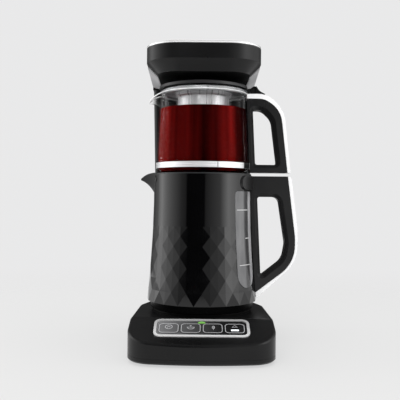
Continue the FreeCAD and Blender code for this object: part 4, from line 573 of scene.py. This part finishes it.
# ---------------------------------------------------------------------------
# Painted highlight on the edge of the glass: under the rounded rim, and out along the lip of the
# beak
# ---------------------------------------------------------------------------
RIM_LINE_RADIUS = 57.5 * MM
RIM_LINE_HEIGHT = glass_high.z - 3.8 * MM
RIM_LINE_THICK = 0.75 * MM
RIM_LINE_STEP = 3  # degrees
BEAK_TURN = -90  # the beak's bearing from the front, in degrees
BEAK_HALF = 15  # half the width of the gap that the beak leaves in the rim, in degrees
BEAK_DEPTH = 20 * MM
LIP_STEP = 1.3 * MM  # between two points along the lip
LIP_REACH = 0.8 * MM  # how far from a point its corner may be, less than LIP_STEP


def lip_edge(side):
    """The outer corner of the beak's lip at each distance from the axis, from rim to tip."""
    corners = []
    for vertex in nodes["pot_glass"].data.vertices:
        x, y, z = vertex.co
        if x < AXIS_X and z > glass_high.z - BEAK_DEPTH and side * y <= 0:
            corners.append((math.hypot(x - AXIS_X, y), vertex.co.copy()))
    tip = max(radius for radius, corner in corners)
    spots = []
    radius = RIM_LINE_RADIUS + 2 * LIP_STEP
    while radius < tip:
        near = [corner for distance, corner in corners if abs(distance - radius) < LIP_REACH]
        spots.append(max(near, key=lambda corner: corner.z + abs(corner.y)))
        radius += LIP_STEP
    return spots


def rim_path():
    """The line's points: round the rim from the beak to the beak, and out along its lip."""
    turns = range(BEAK_TURN + BEAK_HALF, BEAK_TURN + 360 - BEAK_HALF + 1, RIM_LINE_STEP)
    spots = [round_spot(RIM_LINE_RADIUS, math.radians(turn), RIM_LINE_HEIGHT) for turn in turns]
    return spots + lip_edge(-1) + lip_edge(1)[::-1]


rim_points = rim_path()
rim_curve = bpy.data.curves.new("glass_rim_highlight_line", "CURVE")
rim_curve.dimensions = "3D"
rim_curve.bevel_depth = RIM_LINE_THICK
rim_curve.bevel_resolution = 2
rim_spline = rim_curve.splines.new("POLY")
rim_spline.points.add(len(rim_points) - 1)
for point, spot in zip(rim_spline.points, rim_points):
    point.co = (*spot, 1)
rim_spline.use_cyclic_u = True
rim_curve.materials.append(GLASS_EDGE_HIGHLIGHT)
rim_highlight_line = linked("glass_rim_highlight_line", rim_curve)
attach(rim_highlight_line, "pot")


# ---------------------------------------------------------------------------
# Marks on the level window: nearly flush bars that follow the pane's face
# ---------------------------------------------------------------------------
# The middle height of each mark, and the bearings of its ends in degrees.
LEVEL_MARKS = ((0.1767, 41.5, 61.5), (0.1414, 55, 63), (0.1083, 43.5, 63.5))
MARK_HEIGHT = 0.9 * MM
MARK_PROUD = 0.12 * MM
MARK_SINK = 0.15 * MM
FACES_OUT = 0.7  # the least cosine between an outer face's normal and straight outwards


def pane_rows():
    """Height and outer radius of each row of corners on the pane's face, from the foot up."""
    data = nodes["level_window"].data
    rows = {}
    for face in data.polygons:
        outwards = Vector((face.center.x - AXIS_X, face.center.y, 0)).normalized()
        if face.normal.dot(outwards) > FACES_OUT:
            for index in face.vertices:
                spot = data.vertices[index].co
                rows[round(spot.z, 5)] = math.hypot(spot.x - AXIS_X, spot.y)
    return sorted(rows.items())


PANE_ROWS = pane_rows()


def pane_radius(height):
    """The outer radius of the pane at a height, straight between two rows."""
    for (low, low_radius), (high, high_radius) in zip(PANE_ROWS, PANE_ROWS[1:]):
        if low <= height <= high:
            return low_radius + (high_radius - low_radius) * (height - low) / (high - low)
    raise ValueError(f"the pane has no height {height}")


def arc_bar(mesh, low, high, left, right, radius_at, steps=8):
    """A bar let into a round face between two bearings from the front, as a thin closed solid."""
    start, end = math.radians(left), math.radians(right)
    loops = []
    for step in range(steps + 1):
        turn = start + (end - start) * step / steps
        corners = ((low, -MARK_SINK), (low, MARK_PROUD), (high, MARK_PROUD), (high, -MARK_SINK))
        loops.append(
            [
                mesh.verts.new(round_spot(radius_at(level) + proud, turn, level))
                for level, proud in corners
            ]
        )
    four_sided(mesh, loops)
    outwards_normals(mesh)


marks_mesh = bmesh.new()
for height, left, right in LEVEL_MARKS:
    low, high = height - MARK_HEIGHT / 2, height + MARK_HEIGHT / 2
    arc_bar(marks_mesh, low, high, left, right, pane_radius)
level_marks = mesh_piece("level_marks", marks_mesh, MARK, smooth=False)
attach(level_marks, "kettle")


# ---------------------------------------------------------------------------
# Seam and dark joint of the clamp band, let into its outer face
# ---------------------------------------------------------------------------
BAND_EDGE = 0.1 * MM
BAND_INLAYS = ((57, 76, 8), (16.7, 17.4, 2))  # bearings of both ends in degrees, and steps


def band_radius(height):
    """The clamp band's outer radius, the same at every height."""
    return (band_high.x - band_low.x) / 2


joint_mesh = bmesh.new()
low, high = band_low.z + BAND_EDGE, band_high.z - BAND_EDGE
for left, right, steps in BAND_INLAYS:
    arc_bar(joint_mesh, low, high, left, right, band_radius, steps)
band_joint = mesh_piece("band_joint", joint_mesh, BLACK_SATIN, smooth=False)
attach(band_joint, "pot")


# ---------------------------------------------------------------------------
# Signs and outlines, laid on the top face of each key
# ---------------------------------------------------------------------------
key_joint = next(j for j in frame["joints"] if j["name"] == "key_1_press")
KEY_OUT = -Vector(key_joint["axis"]).normalized()
KEY_RIGHT = Vector((1, 0, 0))
KEY_UP = KEY_OUT.cross(KEY_RIGHT).normalized()
LINE = 0.75 * MM  # the width of a sign's strokes
INK_PROUD = 0.08 * MM
INK_SINK = 0.10 * MM
SYMBOL_RISE = 1.4 * MM  # of a sign's middle over the key's
OUTLINE_INSET = 0.95 * MM
OUTLINE_CORNER = 4.4 * MM
OUTLINE_WIDTH = 0.7 * MM
LIGHT_HALF = 4.4 * MM  # the lit bar's half length, its drop under the key's middle, and its width
LIGHT_DROP = 4.2 * MM
LIGHT_WIDTH = 3.0 * MM


def key_frame(name):
    """The middle of a key's top face and its half width and half length."""
    spots = [v.co for v in nodes[name].data.vertices]
    top = max(spot.dot(KEY_OUT) for spot in spots)
    across = [spot.dot(KEY_RIGHT) for spot in spots]
    along = [spot.dot(KEY_UP) for spot in spots]
    middle = (
        KEY_RIGHT * (max(across) + min(across)) / 2
        + KEY_UP * (max(along) + min(along)) / 2
        + KEY_OUT * top
    )
    return middle, (max(across) - min(across)) / 2, (max(along) - min(along)) / 2


def ribbon(mesh, middle, points, width=LINE, closed=False):
    """A flat line of ink through points given across and up the key."""
    count = len(points)
    loops = []
    for index, (x, y) in enumerate(points):
        if closed:
            before, after = points[index - 1], points[(index + 1) % count]
        else:
            before, after = points[max(index - 1, 0)], points[min(index + 1, count - 1)]
        along = Vector((after[0] - before[0], after[1] - before[1])).normalized()
        side = Vector((-along.y, along.x)) * width / 2
        loop = []
        for sign, lift in ((1, -INK_SINK), (-1, -INK_SINK), (-1, INK_PROUD), (1, INK_PROUD)):
            across = KEY_RIGHT * (x + sign * side.x)
            up = KEY_UP * (y + sign * side.y)
            loop.append(mesh.verts.new(middle + across + up + KEY_OUT * lift))
        loops.append(loop)
    four_sided(mesh, loops, closed)


def arc_points(x, y, radius, start, end, steps=24):
    """Points on a circle about (x, y), angles in degrees anticlockwise from the right."""
    turns = [math.radians(start + (end - start) * step / steps) for step in range(steps + 1)]
    return [(x + radius * math.cos(turn), y + radius * math.sin(turn)) for turn in turns]


def rounded_loop(half_x, half_y, corner):
    """A rounded rectangle's outline, anticlockwise."""
    points = []
    for right, up, start in ((1, -1, -90), (1, 1, 0), (-1, 1, 90), (-1, -1, 180)):
        x, y = right * (half_x - corner), up * (half_y - corner)
        points += arc_points(x, y, corner, start, start + 90, 6)
    return points


def swirl(mesh, middle):
    """A ring with a short stroke, for a full pot."""
    ribbon(mesh, middle, arc_points(0, 1 * MM, 4.2 * MM, 0, 345))
    ribbon(mesh, middle, [(-1.8 * MM, -0.6 * MM), (0, 2.4 * MM), (2 * MM, 0.2 * MM)])


def cup(mesh, middle):
    """A bowl-shaped cup with a drop over it."""
    ribbon(mesh, middle, arc_points(0, 0.5 * MM, 4 * MM, 180, 360))
    ribbon(mesh, middle, [(-4.6 * MM, 0.6 * MM), (4.6 * MM, 0.6 * MM)])
    ribbon(mesh, middle, arc_points(0, 3.6 * MM, 0.7 * MM, 0, 360)[:-1], closed=True)


def leaf(mesh, middle):
    """A leaf with its midrib."""
    ribbon(mesh, middle, arc_points(-2 * MM, 0.5 * MM, 4.2 * MM, -48, 48))
    ribbon(mesh, middle, arc_points(3.6 * MM, 0.5 * MM, 4.2 * MM, 132, 228))
    ribbon(mesh, middle, [(0.8 * MM, -4.6 * MM), (0.8 * MM, 2.2 * MM)], LINE * 0.8)


def start_mark(mesh, middle):
    """A triangle, over the lit bar."""
    ribbon(mesh, middle, [(-3 * MM, 1 * MM), (3 * MM, 1 * MM), (0, 5.4 * MM)], closed=True)


def ink_piece(name, mesh, paint, body):
    """Finish a mesh of ink as a piece on a key."""
    outwards_normals(mesh)
    piece = mesh_piece(name, mesh, paint, smooth=False)
    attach(piece, body)


for index, draw in enumerate((swirl, cup, leaf, start_mark), start=1):
    body = f"key_{index}"
    middle, half_x, half_y = key_frame(f"program_key_{index}")
    symbol = bmesh.new()
    draw(symbol, middle + KEY_UP * SYMBOL_RISE)
    ink_piece(f"key_symbol_{index}", symbol, SYMBOL, body)
    edge = bmesh.new()
    outline = rounded_loop(half_x - OUTLINE_INSET, half_y - OUTLINE_INSET, OUTLINE_CORNER)
    ribbon(edge, middle, outline, OUTLINE_WIDTH, closed=True)
    ink_piece(f"key_outline_{index}", edge, SYMBOL, body)

light = bmesh.new()
ribbon(light, middle, [(-LIGHT_HALF, -LIGHT_DROP), (LIGHT_HALF, -LIGHT_DROP)], LIGHT_WIDTH)
ink_piece("key_light", light, LIT, body)


# ---------------------------------------------------------------------------
# Stage: a floor that fades into the world's light, and softboxes
# ---------------------------------------------------------------------------
PALE = 0.815
ROUND_SIDES = 96
FLOOR_RADIUS = 4.0
FLOOR_GLOW = 0.57
FLOOR_FADE = (0.30, 1.10)  # the distances from the middle between which the floor fades


def floor_material():
    """Pale, lit a little from within, and fading out all round."""
    paint = Paint(
        "floor_pale", (0.20, 0.198, 0.194), 0.9, Specular_IOR_Level=0.0,
        Emission_Strength=FLOOR_GLOW,
    )
    paint.shader.inputs["Emission Color"].default_value = (0.99, 0.995, 1.0, 1)
    distance = paint.add("ShaderNodeVectorMath", operation="LENGTH")
    paint.join(paint.place(), distance.inputs[0])
    fade = paint.mapped(distance.outputs["Value"], *FLOOR_FADE)
    fade.node.interpolation_type = "SMOOTHSTEP"
    mix = paint.add("ShaderNodeMixShader")
    paint.join(fade, mix.inputs["Fac"])
    paint.join(paint.shader.outputs[0], mix.inputs[1])
    paint.join(paint.add("ShaderNodeBsdfTransparent").outputs[0], mix.inputs[2])
    paint.join(mix.outputs[0], paint.tree.nodes["Material Output"].inputs["Surface"])
    paint.bump(paint.noise(paint.place(), scale=300), 0.05 * MM, 0.3)
    return paint.material


floor_mesh = bmesh.new()
bmesh.ops.create_circle(floor_mesh, cap_ends=True, segments=ROUND_SIDES, radius=FLOOR_RADIUS)
floor = mesh_piece("floor", floor_mesh, floor_material())

world = bpy.data.worlds.new("studio")
world.use_nodes = True
world.node_tree.nodes["Background"].inputs["Color"].default_value = (PALE, PALE, PALE * 1.005, 1)
world.node_tree.nodes["Background"].inputs["Strength"].default_value = 1.0
bpy.context.scene.world = world

# Softboxes: (name, bearing from the front in degrees, distance from the axis, height, width,
# tallness, watts, height that it is aimed at).
SOFTBOXES = (
    ("box_left", -100, 1.2, 0.35, 0.40, 0.8, 3.0, 0.2),
    ("box_right", 70, 1.2, 0.35, 0.40, 0.8, 2.0, 0.2),
    ("front_fill", -8, 1.3, 0.75, 0.9, 0.7, 9.0, 0.2),
    ("overhead", 0, 0.05, 1.5, 1.4, 1.4, 8.0, 0.0),
)
for name, bearing, distance, height, width, tall, watts, aim in SOFTBOXES:
    lamp = bpy.data.lights.new(name, "AREA")
    lamp.shape = "RECTANGLE"
    lamp.size = width
    lamp.size_y = tall
    lamp.energy = watts
    holder = linked(name, lamp)
    holder.location = round_spot(distance, math.radians(bearing), height)
    towards = Vector((AXIS_X, 0, aim)) - holder.location
    holder.rotation_euler = towards.to_track_quat("-Z", "Y").to_euler()
    holder.visible_camera = False
    holder.visible_glossy = False


# ---------------------------------------------------------------------------
# A tent of light that only reflections see
# ---------------------------------------------------------------------------
# What shiny surfaces see round the machine: brightness by bearing from the front, in degrees.
TENT_LIGHT = [
    (-180, 0.05), (-145, 0.15), (-125, 0.55), (-106, 2.4), (-70, 1.1), (-48, 0.36), (-38, 0.22),
    (-35.5, 0.0), (4.5, 0.0), (6, 0.22), (40, 0.8), (60, 3.0), (89, 1.4), (115, 0.7), (140, 0.12),
    (180, 0.05),
]
TENT_RADIUS = 1.2
TENT_HEIGHT = 1.1
TENT_ROOF = 0.25
TENT_PEAK = 4.0


def tent_part(name, mesh, paint, height):
    """Hang a part of the tent at a height, where nothing but shiny surfaces sees it."""
    piece = mesh_piece(name, mesh, paint.material)
    piece.location = (AXIS_X, 0, height)
    piece.visible_camera = False
    piece.visible_diffuse = False
    piece.visible_transmission = False
    piece.visible_shadow = False


# A cylinder of light round the machine.
wall_paint = Paint(
    "tent_light", (0, 0, 0), 1.0, Specular_IOR_Level=0.0, Emission_Strength=TENT_PEAK
)
tent_stops = by_bearing([(turn, [light / TENT_PEAK] * 3) for turn, light in TENT_LIGHT])
wall_paint.join(
    wall_paint.ramp(wall_paint.bearing(0.0), tent_stops),
    wall_paint.shader.inputs["Emission Color"],
)
wall_mesh = bmesh.new()
bmesh.ops.create_cone(
    wall_mesh, cap_ends=False, segments=ROUND_SIDES, radius1=TENT_RADIUS, radius2=TENT_RADIUS,
    depth=TENT_HEIGHT,
)
tent_part("tent_wall", wall_mesh, wall_paint, TENT_HEIGHT / 2)

# The dim ceiling over it.
roof_paint = Paint(
    "tent_dim", (0, 0, 0), 1.0, Specular_IOR_Level=0.0, Emission_Strength=TENT_ROOF
)
roof_paint.shader.inputs["Emission Color"].default_value = (1, 1, 1, 1)
roof_mesh = bmesh.new()
bmesh.ops.create_circle(roof_mesh, cap_ends=True, segments=ROUND_SIDES, radius=TENT_RADIUS)
tent_part("tent_roof", roof_mesh, roof_paint, TENT_HEIGHT)


# ---------------------------------------------------------------------------
# Camera: level, 850 mm in front of the kettle's axis, rolled by half a degree
# ---------------------------------------------------------------------------
CAMERA_DISTANCE = 0.850
CAMERA_HEIGHT = 0.1887
CAMERA_ASIDE = -3.4 * MM
CAMERA_ROLL = math.radians(0.53)
CAMERA_SENSOR = 36
CAMERA_LENS = 58.5

view = bpy.data.cameras.new("camera")
view.sensor_width = CAMERA_SENSOR
view.lens = CAMERA_LENS
camera = linked("camera", view)
camera.matrix_world = (
    Matrix.Translation((AXIS_X + CAMERA_ASIDE, -CAMERA_DISTANCE, CAMERA_HEIGHT))
    @ Matrix.Rotation(math.radians(90), 4, "X")
    @ Matrix.Rotation(CAMERA_ROLL, 4, "Z")
)
bpy.context.scene.camera = camera
bpy.context.scene.view_settings.view_transform = "Standard"
